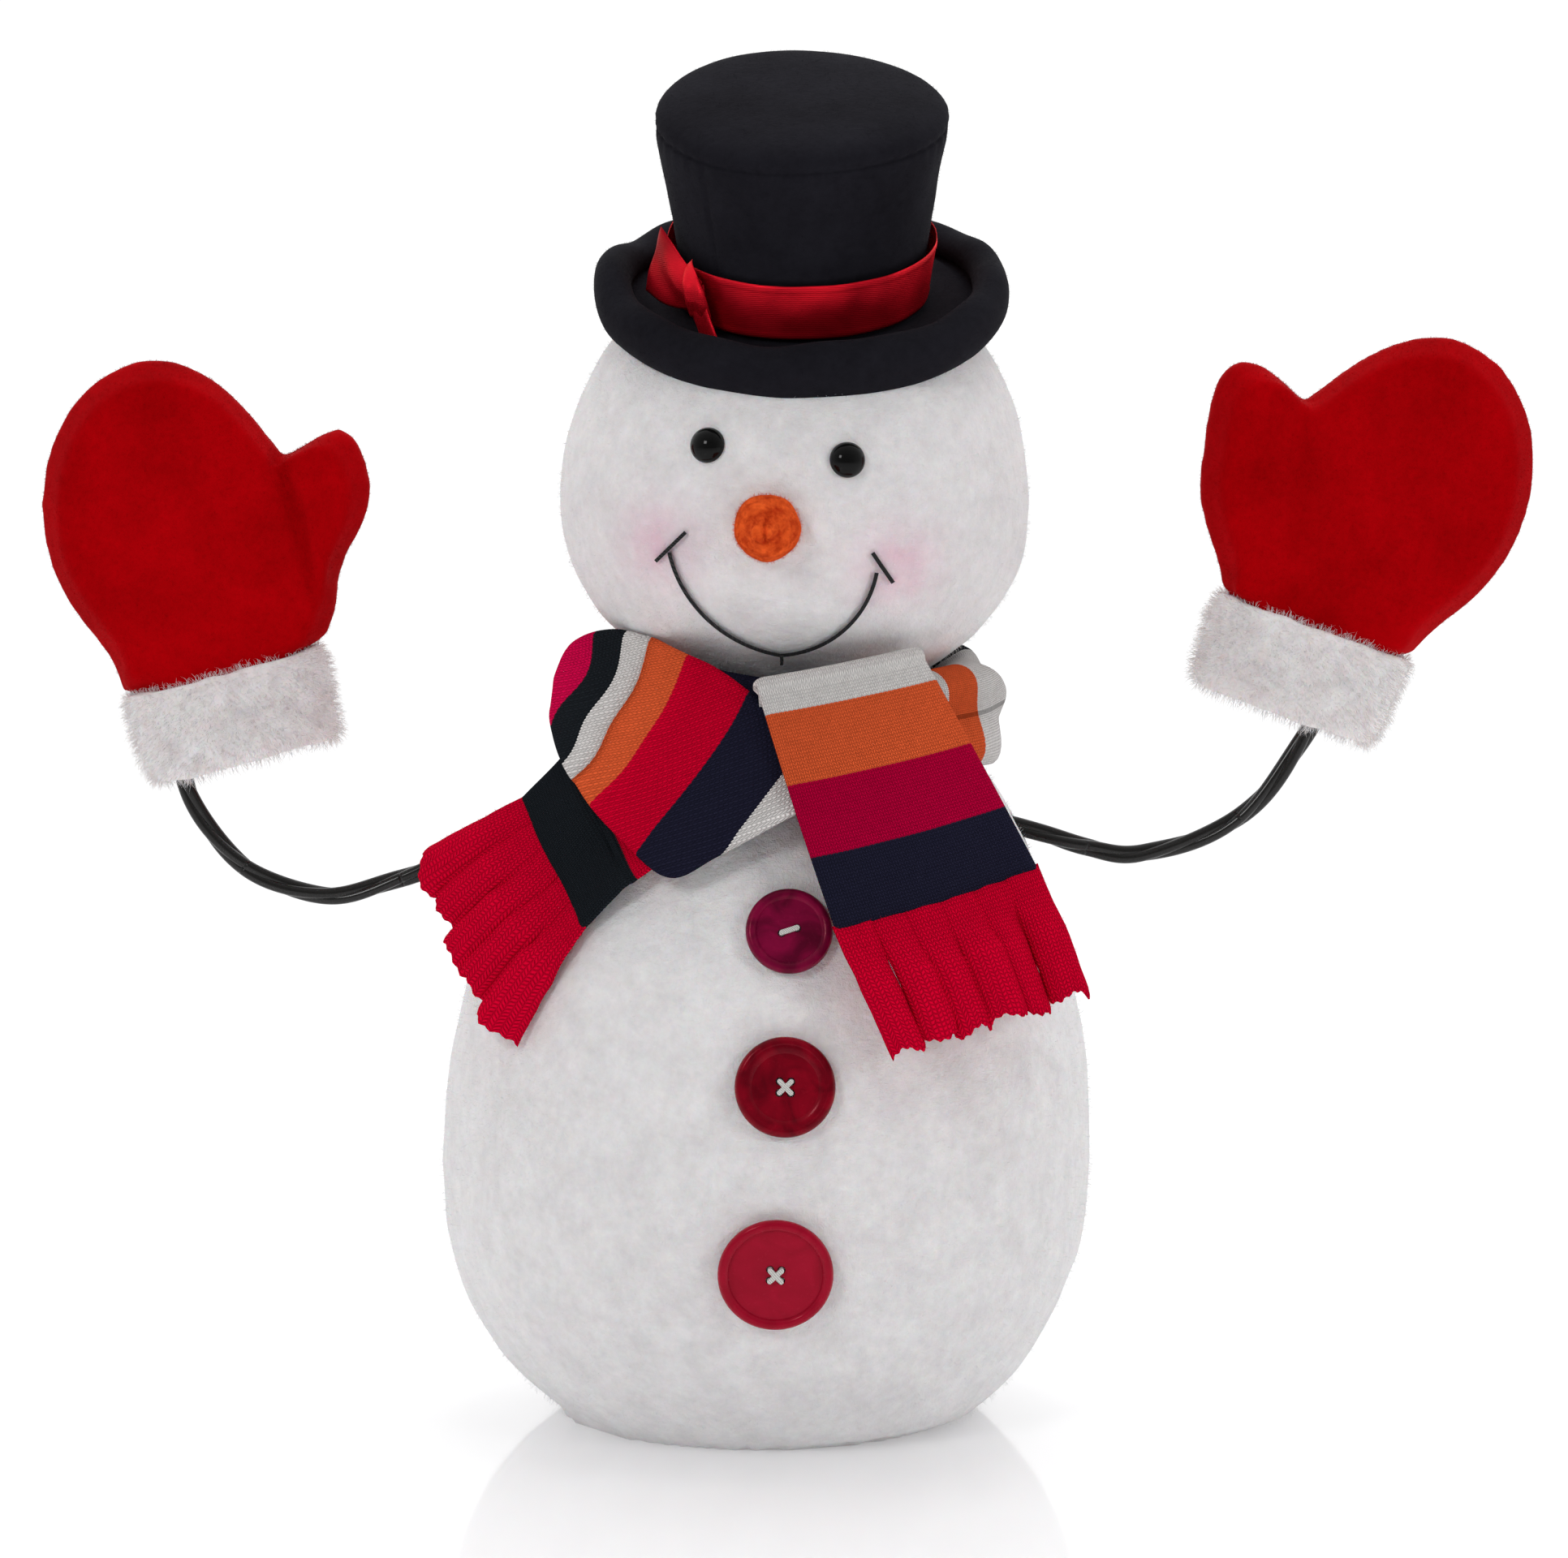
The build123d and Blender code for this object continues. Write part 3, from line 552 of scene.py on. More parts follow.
def fur(name):
    made, tree, shader = material(name, Roughness=0.8, Sheen_Weight=0.3, Subsurface_Weight=0.3,
                                  Subsurface_Scale=0.003, Specular_IOR_Level=0.25)
    share = spread(tree, noise_at(tree, 150.0, 3.0), 0.3, 0.65)
    colour_by(tree, shader, share, (0.95, 0.88, 0.88), (0.99, 0.965, 0.965))
    raise_by(tree, shader, noise_at(tree, 900.0, 2.0), 0.0008, 0.6)
    return made


def knit(name, stripes, stitch=1.5):
    """Striped knitting. stripes are (the length in millimetres where it starts, its colour)."""
    made, tree, shader = material(name, Roughness=0.95, Specular_IOR_Level=0.01)
    across, along = value_of(tree, "across"), value_of(tree, "along")
    stitches = use_group(tree, KNIT, Across=across, Along=along, Stitch=stitch)
    low = stripes[0][0]
    span = max(stripes[-1][0] - low, 1) * 1.05
    toothed = plus(tree, along, times(tree, stitches["Gap"], -0.5))
    level = calc(tree, "DIVIDE", calc(tree, "SUBTRACT", toothed, low), span, clamp=True)
    ramp = node(tree, "ValToRGB", {"Fac": level})
    ramp.color_ramp.interpolation = "CONSTANT"
    points = ramp.color_ramp.elements
    points[0].position, points[0].color = 0, (*stripes[0][1], 1)
    points.remove(points[1])
    for start, colour in stripes[1:]:
        points.new((start - low) / span).color = (*colour, 1)
    worn = node(tree, "MapRange", {"Value": noise_at(tree, 420.0, 3.0), "From Min": 0.3, "From Max": 0.7,
                                   "To Min": 0.94, "To Max": 1.06}).outputs[0]
    # painted shade: the yarn's colour is darkened by up to a fifth in the gaps between stitches, where shade
    # falls; the noise it is multiplied with is random tone of the yarn
    shade = times(tree, worn, calc(tree, "SUBTRACT", 1.0, times(tree, stitches["Gap"], 0.20)))
    tint = node(tree, "Mix", {"Factor": 1.0, 6: ramp.outputs["Color"], 7: shade}, data_type="RGBA",
                blend_type="MULTIPLY").outputs[2]
    tree.links.new(tint, shader.inputs["Base Color"])
    raise_by(tree, shader, stitches["Height"], 0.0005 * stitch, 1.0)
    return made


def satin():
    made, tree, shader = material("satin", Roughness=0.34, Metallic=0.6, Anisotropic=0.5,
                                  Specular_Tint=(1, 0.2, 0.2, 1))
    # painted highlight: the satin's colour runs in soft patches from dark red to nearly full red, standing in
    # for the sheen on its folds; the same noise raises the folds in the bump
    folds = noise_at(tree, 26.0, 3.0)
    sheen = spread(tree, folds, 0.38, 0.62)
    colour_by(tree, shader, sheen, (0.30, 0.001, 0.008), (0.98, 0.012, 0.030))
    place = node(tree, "SeparateXYZ", {0: node(tree, "TexCoord").outputs["Object"]})
    threads = calc(tree, "SINE", times(tree, place.outputs["Z"], 14000.0))
    raise_by(tree, shader, plus(tree, threads, times(tree, folds, 6.0)), 0.0001, 0.35)
    return made


def felted(name):
    made, tree, shader = material(name, Roughness=0.95, Sheen_Weight=0.1, Sheen_Tint=(1, 0.3, 0.1, 1),
                                  Specular_IOR_Level=0.02)
    felt = use_group(tree, FIBRES, Scale=1.3)
    share = spread(tree, felt["Clumps"], 0.35, 0.65)
    colour_by(tree, shader, share, (0.48, 0.030, 0.005), (0.95, 0.135, 0.024))
    raise_by(tree, shader, felt["Height"], 0.0009, 0.9)
    return made


def pearly(name, deep, bright, coat):
    """Moulded button plastic with soft marbled clouds."""
    made, tree, shader = material(name, Roughness=0.22, Coat_Weight=coat, Coat_Roughness=0.08,
                                  Specular_IOR_Level=0.3, Specular_Tint=(1, 0.15, 0.2, 1))
    clouds = node(tree, "TexNoise", {"Vector": node(tree, "TexCoord").outputs["Object"], "Scale": 90.0,
                                     "Detail": 4.0, "Distortion": 1.2}).outputs["Fac"]
    share = spread(tree, clouds, 0.35, 0.65)
    colour_by(tree, shader, share, deep, bright)
    scuffs = noise_at(tree, 700.0, 3.0)
    rough = node(tree, "MapRange", {"Value": scuffs, "To Min": 0.16, "To Max": 0.34}).outputs[0]
    tree.links.new(rough, shader.inputs["Roughness"])
    raise_by(tree, shader, scuffs, 0.00004, 0.4)
    return made


def glossy(name, colour, rough, coat, shine):
    made, tree, shader = material(name, Roughness=rough, Coat_Weight=coat, Coat_Roughness=0.03,
                                  Specular_IOR_Level=shine)
    specks = noise_at(tree, 1200.0, 2.0)
    colour_by(tree, shader, specks, colour, tuple(c * 1.5 + 0.002 for c in colour))
    level = node(tree, "MapRange", {"Value": noise_at(tree, 160.0, 3.0), "To Min": rough * 0.7,
                                    "To Max": rough * 1.4}).outputs[0]
    tree.links.new(level, shader.inputs["Roughness"])
    return made


def twisted(name, colour, sheen=0.2):
    """Spun thread or cord."""
    made, tree, shader = material(name, Roughness=0.85, Sheen_Weight=sheen, Specular_IOR_Level=0.2)
    place = node(tree, "SeparateXYZ", {0: node(tree, "TexCoord").outputs["Object"]})
    run = plus(tree, plus(tree, place.outputs["X"], place.outputs["Y"]), place.outputs["Z"])
    ply = calc(tree, "SINE", times(tree, run, 7000.0))
    # painted shade: the colour darkens to six tenths in the grooves between the plies, where the bump is
    # lowest
    share = plus(tree, times(tree, ply, 0.5), 0.5)
    colour_by(tree, shader, share, tuple(c * 0.6 for c in colour), colour)
    raise_by(tree, shader, ply, 0.00015, 0.7)
    return made


def woven(name, colour, thread):
    made, tree, shader = material(name, Roughness=0.9, Sheen_Weight=0.15, Specular_IOR_Level=0.2)
    threads = use_group(tree, WEAVE, Thread=thread)["Height"]
    # painted shade: the colour darkens to three quarters where the threads dip under, where the bump is
    # lowest
    share = plus(tree, times(tree, threads, 0.5), 0.5)
    colour_by(tree, shader, share, tuple(c * 0.75 for c in colour), colour)
    raise_by(tree, shader, threads, 0.0001, 0.6)
    return made


def matt(name, colour, rough, metal=0.0):
    """Card, moulded plastic or plain metal, with a fine grain."""
    made, tree, shader = material(name, Roughness=rough, Metallic=metal)
    grain = noise_at(tree, 500.0, 5.0)
    colour_by(tree, shader, grain, tuple(c * 0.8 for c in colour), colour)
    raise_by(tree, shader, grain, 0.0001, 0.4)
    return made


WHITE_FLEECE = fleece("brushed fleece", (0.94, 0.925, 0.93), (0.79, 0.77, 0.78), with_blush=True)
# painted shade: the head's fleece is a darker copy of the body's fleece, standing in for the shade over the
# face under the hat; the real fleece is the same all over
FACE_FLEECE_PAINTED_SHADE = fleece("face fleece with painted shade", (0.885, 0.865, 0.873), (0.745, 0.722, 0.732), with_blush=True)
FLEECE_FUZZ = fleece("fleece fuzz", (0.94, 0.94, 0.95), (0.86, 0.87, 0.89))
RED_VELVET = velvet("red velvet", (0.29, 0.0003, 0.0015), (0.46, 0.0004, 0.003), (1.0, 0.01, 0.03), 0.10)
BLACK_VELVET = velvet("black velvet", (0.007, 0.0065, 0.009), (0.014, 0.0135, 0.018), (0.4, 0.4, 0.45), 0.02)
WHITE_FUR = fur("cuff fur")
SATIN = satin()
FELT = felted("orange felt")
WIRE_COAT = glossy("black wire coating", (0.008, 0.0075, 0.007), 0.2, 0.1, 0.3)
EYE_BLACK = glossy("eye black", (0.002, 0.002, 0.002), 0.06, 0.03, 0.14)
WHITE_THREAD = twisted("white thread", (0.85, 0.84, 0.80))
BLACK_THREAD = twisted("black thread", (0.012, 0.012, 0.013))
CORD = twisted("neck cord", (0.8, 0.8, 0.78))
BUTTONS = {
    "top": pearly("wine button", (0.10, 0.0015, 0.020), (0.23, 0.003, 0.042), 0.07),
    "middle": pearly("crimson button", (0.11, 0.001, 0.006), (0.25, 0.002, 0.012), 0.06),
    "bottom": pearly("red button", (0.30, 0.003, 0.018), (0.37, 0.004, 0.024), 0.07),
}


def finish_cad_nodes():
    """Every CAD node has its own finish, whether it shows or not."""
    filling = fleece("fibre filling", (0.92, 0.92, 0.9), (0.8, 0.8, 0.78))
    uses = {
        "body_stuffing": filling, "head_stuffing": filling, "hat_stuffing": filling,
        "left_mitten_stuffing": filling, "right_mitten_stuffing": filling,
        "base_panel": woven("base cloth", (0.75, 0.75, 0.74), 0.5),
        "base_board": matt("grey card", (0.45, 0.42, 0.36), 0.85),
        "weight_bag": woven("bean bag cloth", (0.55, 0.53, 0.48), 0.7),
        "neck_cord": CORD, "smile_thread": BLACK_THREAD,
        "left_smile_stitch": BLACK_THREAD, "right_smile_stitch": BLACK_THREAD,
        "left_eye": EYE_BLACK, "right_eye": EYE_BLACK,
        "left_eye_washer": matt("washer", (0.8, 0.8, 0.78), 0.4),
        "hat_stiffener": woven("buckram", (0.05, 0.05, 0.05), 0.8),
        "hat_brim_wire": matt("brim wire", (0.5, 0.5, 0.5), 0.35, 1.0),
        "nose": FELT, "hat_ribbon": SATIN, "hat_bow_loop": SATIN, "hat_bow_tail": SATIN,
        "hat_bow_knot": SATIN,
    }
    uses["right_eye_washer"] = uses["left_eye_washer"]
    for name, finish in BUTTONS.items():
        uses[f"button_{name}"] = finish
        uses[f"button_thread_{name}"] = WHITE_THREAD
    for name, obj in nodes.items():
        if name in uses:
            finish = uses[name]
        elif "wire" in name:
            finish = WIRE_COAT
        elif "scarf" in name:
            finish = SCARLET_KNIT
        elif "cuff" in name:
            finish = WHITE_FUR
        elif "mitten" in name:
            finish = RED_VELVET
        elif name.startswith("hat"):
            finish = BLACK_VELVET
        else:
            finish = FLEECE_FUZZ
        obj.data.materials.clear()
        obj.data.materials.append(finish)


SCARLET_KNIT = knit("scarlet knit", [(-1000, SCARLET), (1000, SCARLET)], 1.9)


# ---------------------------------------------------------------- body and head

def make_body():
    """The fleece body, a little lumpy, pulled in under its buttons."""
    body = skin("body_fleece", ("body_cover", "base_panel"), 7, WHITE_FLEECE)
    spot = points_of(body)
    base_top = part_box("base_panel")[1].z
    lumps = 1.1 * MM * ripple(spot, 0.045, 1) + 0.5 * MM * ripple(spot, 0.014, 2) - 0.5 * MM
    near = distance_to(spot, *(f"button_{name}" for name in BUTTONS))
    dent = np.exp(-(near / (7 * MM)) ** 2)
    keep = np.clip((spot[:, 2] - base_top) / (14 * MM), 0, 1)
    left_side = np.clip(-(spot[:, 0] - middle("body_cover")[0]) / (90 * MM), 0, 1)
    full = 0.9 * MM + 2.0 * MM * left_side**2
    push(body, ((lumps + full) * (1 - dent) - 0.5 * MM * dent) * keep)
    spot = points_of(body)
    spot[:, 2] = np.maximum(spot[:, 2], 0.1 * MM)
    put_points(body, spot)
    add_value(body, "blush", np.zeros(len(spot)))
    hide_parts("body_cover", "base_panel")
    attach(body, "root")
    hem = 3 * MM
    pile("body_fuzz", body, "root", 18000, 2.7 * MM, 0.045 * MM, 0.9, FLEECE_FUZZ, 11,
         where=lambda p: p[:, 2] > hem)


def make_head():
    """The fleece head with pink cheeks."""
    # the head wears the darker fleece, whose colour is painted shade
    head = skin("head_fleece", ("head_cover",), 7, FACE_FLEECE_PAINTED_SHADE)
    spot = points_of(head)
    face = ("left_eye", "right_eye", "nose", "smile_thread", "left_smile_stitch", "right_smile_stitch")
    near = distance_to(spot, *face)
    calm = np.clip(near / (9 * MM), 0, 1)
    lumps = 0.9 * MM * ripple(spot, 0.04, 4) + 0.4 * MM * ripple(spot, 0.013, 5) - 0.35 * MM
    thread = distance_to(spot, *face[3:])
    push(head, lumps * calm - 0.3 * MM * np.exp(-(thread / (1.6 * MM)) ** 2))
    spot = points_of(head)
    blush = np.zeros(len(spot))
    centre = middle("head_cover")
    for name in ("left_smile_stitch", "right_smile_stitch"):
        low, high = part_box(name)
        cheek = (np.array(low) + np.array(high)) / 2
        cheek[0] += np.sign(cheek[0] - centre[0]) * 5 * MM
        away = np.linalg.norm((spot - cheek) * (1, 0.6, 1), axis=1) / (14 * MM)
        blush = np.maximum(blush, 0.5 * np.exp(-away**2))
    add_value(head, "blush", blush * np.clip(0.85 + 0.5 * ripple(spot, 0.006, 6), 0, 1))
    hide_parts("head_cover")
    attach(head, "head")
    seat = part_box("hat_brim")[1].z
    make_chin_stitch()
    pile("head_fuzz", head, "head", 11000, 2.1 * MM, 0.045 * MM, 0.9, FLEECE_FUZZ, 12,
         where=lambda p: p[:, 2] < seat)


def make_chin_stitch():
    """A short upright stitch that ties the smile down at its lowest point."""
    points = cad_points("smile_thread")
    low = points[np.argsort(points[:, 2])[:12]].mean(0)
    front = points[np.abs(points[:, 0] - low[0]) < 3 * MM][:, 1].min()
    root = np.array([low[0], front, low[2]])
    stops = [root + np.array(step) * MM for step in ((0, -0.3, 0.6), (0.1, 0.1, -1.0), (0, 1.2, -2.6))]
    rings, sides, thread_r = 12, 10, 0.55 * MM
    path = smooth_line(stops, rings)
    turn = np.linspace(0, FULL_TURN, sides, endpoint=False)
    ring = np.stack([np.cos(turn), np.sin(turn), 0 * turn], axis=1) * thread_r
    spots = (path[:, None] + ring[None]).reshape(-1, 3)
    faces = tube_faces(rings, sides)
    faces += [tuple(reversed(range(sides))), tuple((rings - 1) * sides + j for j in range(sides))]
    stitch = new_piece("chin_stitch", spots, faces, BLACK_THREAD)
    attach(stitch, "head")


def make_nose():
    """A short cone of felted wool with a fold at its tip."""
    nose = skin("nose_felt", ("nose",), 6, FELT)
    spot = points_of(nose)
    root = middle("head_cover")
    out = unit(middle("nose") - np.array([root[0], root[1], middle("nose")[2]]))
    height = (spot - middle("nose")) @ out
    share = np.clip((height - height.min()) / np.ptp(height), 0, 1)
    side = unit(np.cross(out, (0, 0, 1)))
    x = (spot - middle("nose")) @ side
    turns = np.sin(height / (1.1 * MM) + 3 * ripple(spot, 0.006, 9))
    fold = np.exp(-((x + 1.2 * MM * np.sin(share * 3)) / (0.9 * MM)) ** 2)
    fold = fold * np.clip((share - 0.62) / 0.2, 0, 1)
    push(nose, 0.7 * MM * ripple(spot, 0.007, 7) + 0.16 * MM * turns - 1.7 * MM * fold)
    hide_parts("nose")
    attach(nose, "head")
    pile("nose_fuzz", nose, "head", 2200, 1.5 * MM, 0.04 * MM, 1.2, FELT, 13)


# ---------------------------------------------------------------- top hat

def hat_axes():
    """The hat's middle at the brim, its axis upward, and the directions right and back."""
    centre, ways = axes_of("hat_brim")
    up = ways[2] * np.sign(ways[2][2])
    right = unit(np.array([1.0, 0, 0]) - up * up[0])
    return centre, up, right, np.cross(up, right)


HAT = hat_axes()


def in_hat(r, height, angle):
    """Points of the hat from their distance to its axis, height and angle from its front."""
    centre, up, right, back = HAT
    angle = np.asarray(angle)[..., None]
    way = right * np.sin(angle) - back * np.cos(angle)
    return centre + way * np.asarray(r)[..., None] + up * np.asarray(height)[..., None]


def hat_reach(*names):
    """How far CAD nodes reach from the hat's axis and along it: r and height of each point."""
    centre, up = HAT[:2]
    rel = cad_points(*names) - centre
    height = rel @ up
    return np.linalg.norm(rel - height[:, None] * up, axis=1), height


def revolved(name, profile, columns, change, uses):
    """A profile of (r, height) turned about the hat's axis; change(r, h, angle) reshapes it."""
    angle = np.linspace(0, FULL_TURN, columns, endpoint=False)
    profile = np.asarray(profile)
    r = np.repeat(profile[:, :1], columns, 1)
    h = np.repeat(profile[:, 1:], columns, 1)
    a = np.repeat(angle[None], len(profile), 0)
    r, h, a = change(r, h, a)
    return new_piece(name, in_hat(r, h, a).reshape(-1, 3), tube_faces(len(profile), columns), uses)


def make_crown():
    """The crown and its domed top, sewn together in a puckered seam, with one seam down the side."""
    r, h = hat_reach("hat_crown")
    low_h, high_h = h.min(), h.max()
    low_r, high_r = r[h < low_h + 1 * MM].max(), r[h > high_h - 1 * MM].max()
    dome_h = hat_reach("hat_top")[1].max()
    wall = []
    for share in np.linspace(0, 1, 46):
        flare = share**1.35
        wall.append((low_r + (high_r - low_r) * flare, low_h - 1 * MM + (high_h - low_h) * share))
    top = [(high_r * 0.998, high_h - 0.2 * MM), (high_r * 0.985, high_h + 0.2 * MM)]
    rise = dome_h - high_h
    for share in np.linspace(0.02, 1, 34):
        turn = share * math.pi / 2
        top.append((high_r * math.cos(turn) ** 0.8 if share < 1 else 0.05 * MM,
                    high_h + rise * math.sin(turn) ** 0.55))
    profile = wall + top
    seam = len(wall)
    seam_at = math.radians(318)

    def change(r, h, a):
        spot = in_hat(r, h, a)
        soft = ripple(spot, 0.035, 21).reshape(r.shape) * 0.9 * MM
        soft = soft + ripple(spot, 0.011, 22).reshape(r.shape) * 0.25 * MM
        side_seam = np.exp(-(((a - seam_at) * r) / (0.7 * MM)) ** 2)
        side_seam[seam:] = 0
        pucker = np.sin(a * 46 + 2 * ripple(spot, 0.02, 23).reshape(r.shape))
        level = np.arange(len(profile))[:, None]
        near = np.exp(-((level - seam) / 2.0) ** 2)
        soft = soft * np.clip(r / (14 * MM), 0, 1)
        gathers = pucker * 0.22 * MM * np.exp(-((level - seam) / 3.5) ** 2)
        r = r + soft - 0.8 * MM * side_seam - near * 0.6 * MM + gathers
        tip = 0.8 * MM * np.sin(a * 2 + 0.6) * (h > low_h + 0.5 * (high_h - low_h))
        return r, h + tip * np.clip(r / (40 * MM), 0, 1) ** 2, a

    columns = 220
    crown = revolved("hat_crown_velvet", profile, columns, change, BLACK_VELVET)
    cap = range((len(profile) - 1) * columns, len(profile) * columns)
    work = bmesh.new()
    work.from_mesh(crown.data)
    work.verts.ensure_lookup_table()
    work.faces.new([work.verts[i] for i in cap])
    work.faces.new([work.verts[i] for i in reversed(range(columns))])
    work.to_mesh(crown.data)
    work.free()
    crown.data.shade_smooth()
    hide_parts("hat_crown", "hat_top")
    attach(crown, "head")
    pile("hat_crown_nap", crown, "head", 9000, 0.9 * MM, 0.035 * MM, 1.1,
         BLACK_VELVET, 31)


def make_brim():
    """The padded brim: flat inside, curled up all round, higher at the back corners."""
    r, h = hat_reach("hat_brim")
    hole, outer = r.min(), r.max()
    low_h, high_h = h.min(), h.max()
    rim = outer - 12 * MM
    thick = 4 * MM
    top_h, tall = low_h + thick, high_h - low_h
    profile = [(hole, top_h - 0.5 * MM)]
    for share in np.linspace(0.03, 1, 14):
        profile.append((hole + (rim - hole) * share, top_h))
    for turn in np.linspace(-1.35, math.pi * 0.98, 26):
        bend = math.pi - turn
        profile.append(((outer + rim) / 2 + (outer - rim) / 2 * math.cos(bend),
                        low_h + tall * 0.56 + tall * 0.44 * math.sin(bend)))
    for turn in np.linspace(0.1, 1.25, 12):
        profile.append(((outer + rim) / 2 + (outer - rim) / 2 * math.cos(turn),
                        low_h + tall * 0.5 - tall * 0.5 * math.sin(turn)))
    for share in np.linspace(0.85, 0, 12):
        profile.append((hole + (rim - hole) * share, low_h))

    def change(r, h, a):
        spot = in_hat(r, h, a)
        out = np.clip((r - hole) / (outer - hole), 0, 1)
        curl = np.clip((h - low_h) / tall, 0, 1) * (out > 0.55)
        back = np.cos(a - math.pi)
        horn = np.exp(-((np.abs(a % FULL_TURN - math.pi) - 1.02) / 0.42) ** 2)
        wave = 0.9 * MM * np.sin(3 * a + 0.8) + 0.6 * MM * np.sin(7 * a) + 0.4 * MM * np.sin(13 * a + 1)
        soft = ripple(spot, 0.022, 25).reshape(r.shape)
        dip = ripple(spot, 0.012, 26).reshape(r.shape)
        front = np.clip(np.cos(a), 0, 1)
        new_h = h + curl * (wave - 5 * MM * horn - 8 * MM * np.clip(back, 0, 1) ** 2 + 0.8 * MM * soft)
        new_h = new_h - 4.5 * MM * front * np.clip((out - 0.45) / 0.4, 0, 1)
        new_h = new_h + (1 - curl) * out * 0.7 * MM * soft
        new_h = new_h + (h > low_h + 0.5 * thick) * (1 - curl) * 0.5 * MM * dip
        new_r = r + out * (0.7 * MM * soft + 0.35 * MM * np.sin(5 * a + 2) + 3.5 * MM * front)
        return new_r, new_h, a

    closed = profile + [profile[0]]
    brim = revolved("hat_brim_velvet", closed, 260, change, BLACK_VELVET)
    face_outward(brim, join=True)
    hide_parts("hat_brim")
    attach(brim, "head")
    pile("hat_brim_nap", brim, "head", 9000, 0.9 * MM, 0.035 * MM, 1.1,
         BLACK_VELVET, 32)


def make_ribbon():
    """The satin band, with narrow selvages, and its flat bow at the side."""
    r, h = hat_reach("hat_ribbon")
    low_h, high_h = h.min(), h.max()
    low_r, high_r = r[h < low_h + 1 * MM].max(), r[h > high_h - 1 * MM].max()
    rows, columns = 26, 240
    share = np.repeat(np.linspace(0, 1, rows)[:, None], columns, 1)
    angle = np.repeat(np.linspace(0, FULL_TURN, columns, endpoint=False)[None], rows, 0)
    selvage = np.exp(-(((share - 0.93) / 0.03) ** 2)) + np.exp(-(((share - 0.07) / 0.03) ** 2))
    radius = low_r + (high_r - low_r) * share + 1.0 * MM + 0.25 * MM * selvage
    height = low_h + (high_h - low_h) * share + 0.5 * MM * np.sin(angle * 2 + 1)
    spot = in_hat(radius, height, angle)
    radius = radius + 0.45 * MM * ripple(spot * (1, 1, 0.35), 0.012, 41).reshape(radius.shape)
    mid = in_hat(radius, height, angle)[::-1]
    band = cloth("hat_ribbon_satin", mid, 0.5 * MM, angle * high_r, share * (high_h - low_h), SATIN,
                 ring=True)
    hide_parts("hat_ribbon")
    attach(band, "head")

    centre, up = HAT[:2]
    knot_at = middle("hat_bow_knot")
    out = unit((knot_at - centre) - up * ((knot_at - centre) @ up))
    across = unit(np.cross(out, -up)) * -1
    across = across if across[0] > 0 else -across
    base = knot_at - out * 2.2 * MM

    def strip(name, line, widths, bulges, node_name, tilt=0.0):
        """A ribbon end along a line of (across, up, out) points, cut across at its end."""
        columns = 18
        path = smooth_line(np.array(line) * MM, 26)
        rows = np.linspace(0, 1, len(path))
        width = np.interp(rows, np.linspace(0, 1, len(widths)), widths) * MM
        bulge = np.interp(rows, np.linspace(0, 1, len(bulges)), bulges) * MM
        way = np.gradient(path, axis=0)
        side = unit(np.stack([-way[:, 1], way[:, 0], np.zeros(len(path))], axis=1))
        w = np.linspace(-1, 1, columns)
        grid = path[:, None] + side[:, None] * (w[None, :, None] * width[:, None, None] / 2)
        creases = 0.35 * MM * np.sin(5 * w[None] + 6 * rows[:, None])
        grid[..., 2] += bulge[:, None] * (1 - w[None] ** 2) + creases
        grid[..., 2] += tilt * MM * w[None] * rows[:, None]
        world = base + grid[..., :1] * across + grid[..., 1:2] * up + grid[..., 2:] * out
        length = np.repeat((rows * np.linalg.norm(path[-1] - path[0]))[:, None], columns, 1)
        piece = cloth(name, world, 0.5 * MM, np.repeat(w[None] * 8 * MM, len(path), 0), length, SATIN)
        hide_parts(node_name)
        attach(piece, "head")

    strip("hat_bow_loop_satin", [(2, 1, 1.2), (-7, 2.5, 2.6), (-15, 4, 2.2), (-23, 6, 1.0)],
          [11, 17, 22, 25], [0.8, 1.6, 1.0, 0.3], "hat_bow_loop", 1.2)
    strip("hat_bow_tail_satin", [(0, 4, 2.2), (3, -2, 3.4), (7, -9, 3.2), (10, -17, 2.4)],
          [9, 11, 12, 13], [1.6, 1.4, 1.0, 0.4], "hat_bow_tail", 1.5)
    strip("hat_bow_knot_satin", [(-4, 9, 1.6), (0, 7, 4.6), (3.5, 2, 5.0), (4.5, -5, 3.6)],
          [8, 10, 10, 8], [1.4, 2.0, 1.8, 0.8], "hat_bow_knot", -1.0)


# ---------------------------------------------------------------- scarf

def front_surface(name, order=3):
    """How far forward a node's front lies at x and z: a smooth function that holds a little beyond it."""
    tree = cad_tree(name)
    low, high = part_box(name)
    found = []
    looks, reach = 36, 50 * MM
    for x in np.linspace(low.x, high.x, looks):
        for z in np.linspace(low.z, high.z, looks):
            spot, way = tree.ray_cast(Vector((x, low.y - reach, z)), Vector((0, 1, 0)))[:2]
            if spot is not None and way.y < -0.2:
                found.append(spot)
    found = np.array(found)
    mx, mz = found[:, 0].mean(), found[:, 2].mean()

    def terms(x, z):
        x, z = (x - mx) / reach, (z - mz) / reach
        return np.stack([x**i * z**j for i in range(order + 1) for j in range(order + 1 - i)], axis=-1)

    fit = np.linalg.lstsq(terms(found[:, 0], found[:, 2]), found[:, 1], rcond=None)[0]
    return lambda x, z: terms(np.asarray(x), np.asarray(z)) @ fit


def corners_of(name):
    """A four-sided node's corners in x and z: top left, top right, low right, low left."""
    flat = cad_points(name)[:, (0, 2)]
    return [flat[np.argmax(flat @ way)] for way in ((-1, 1), (1, 1), (1, -1), (-1, -1))]


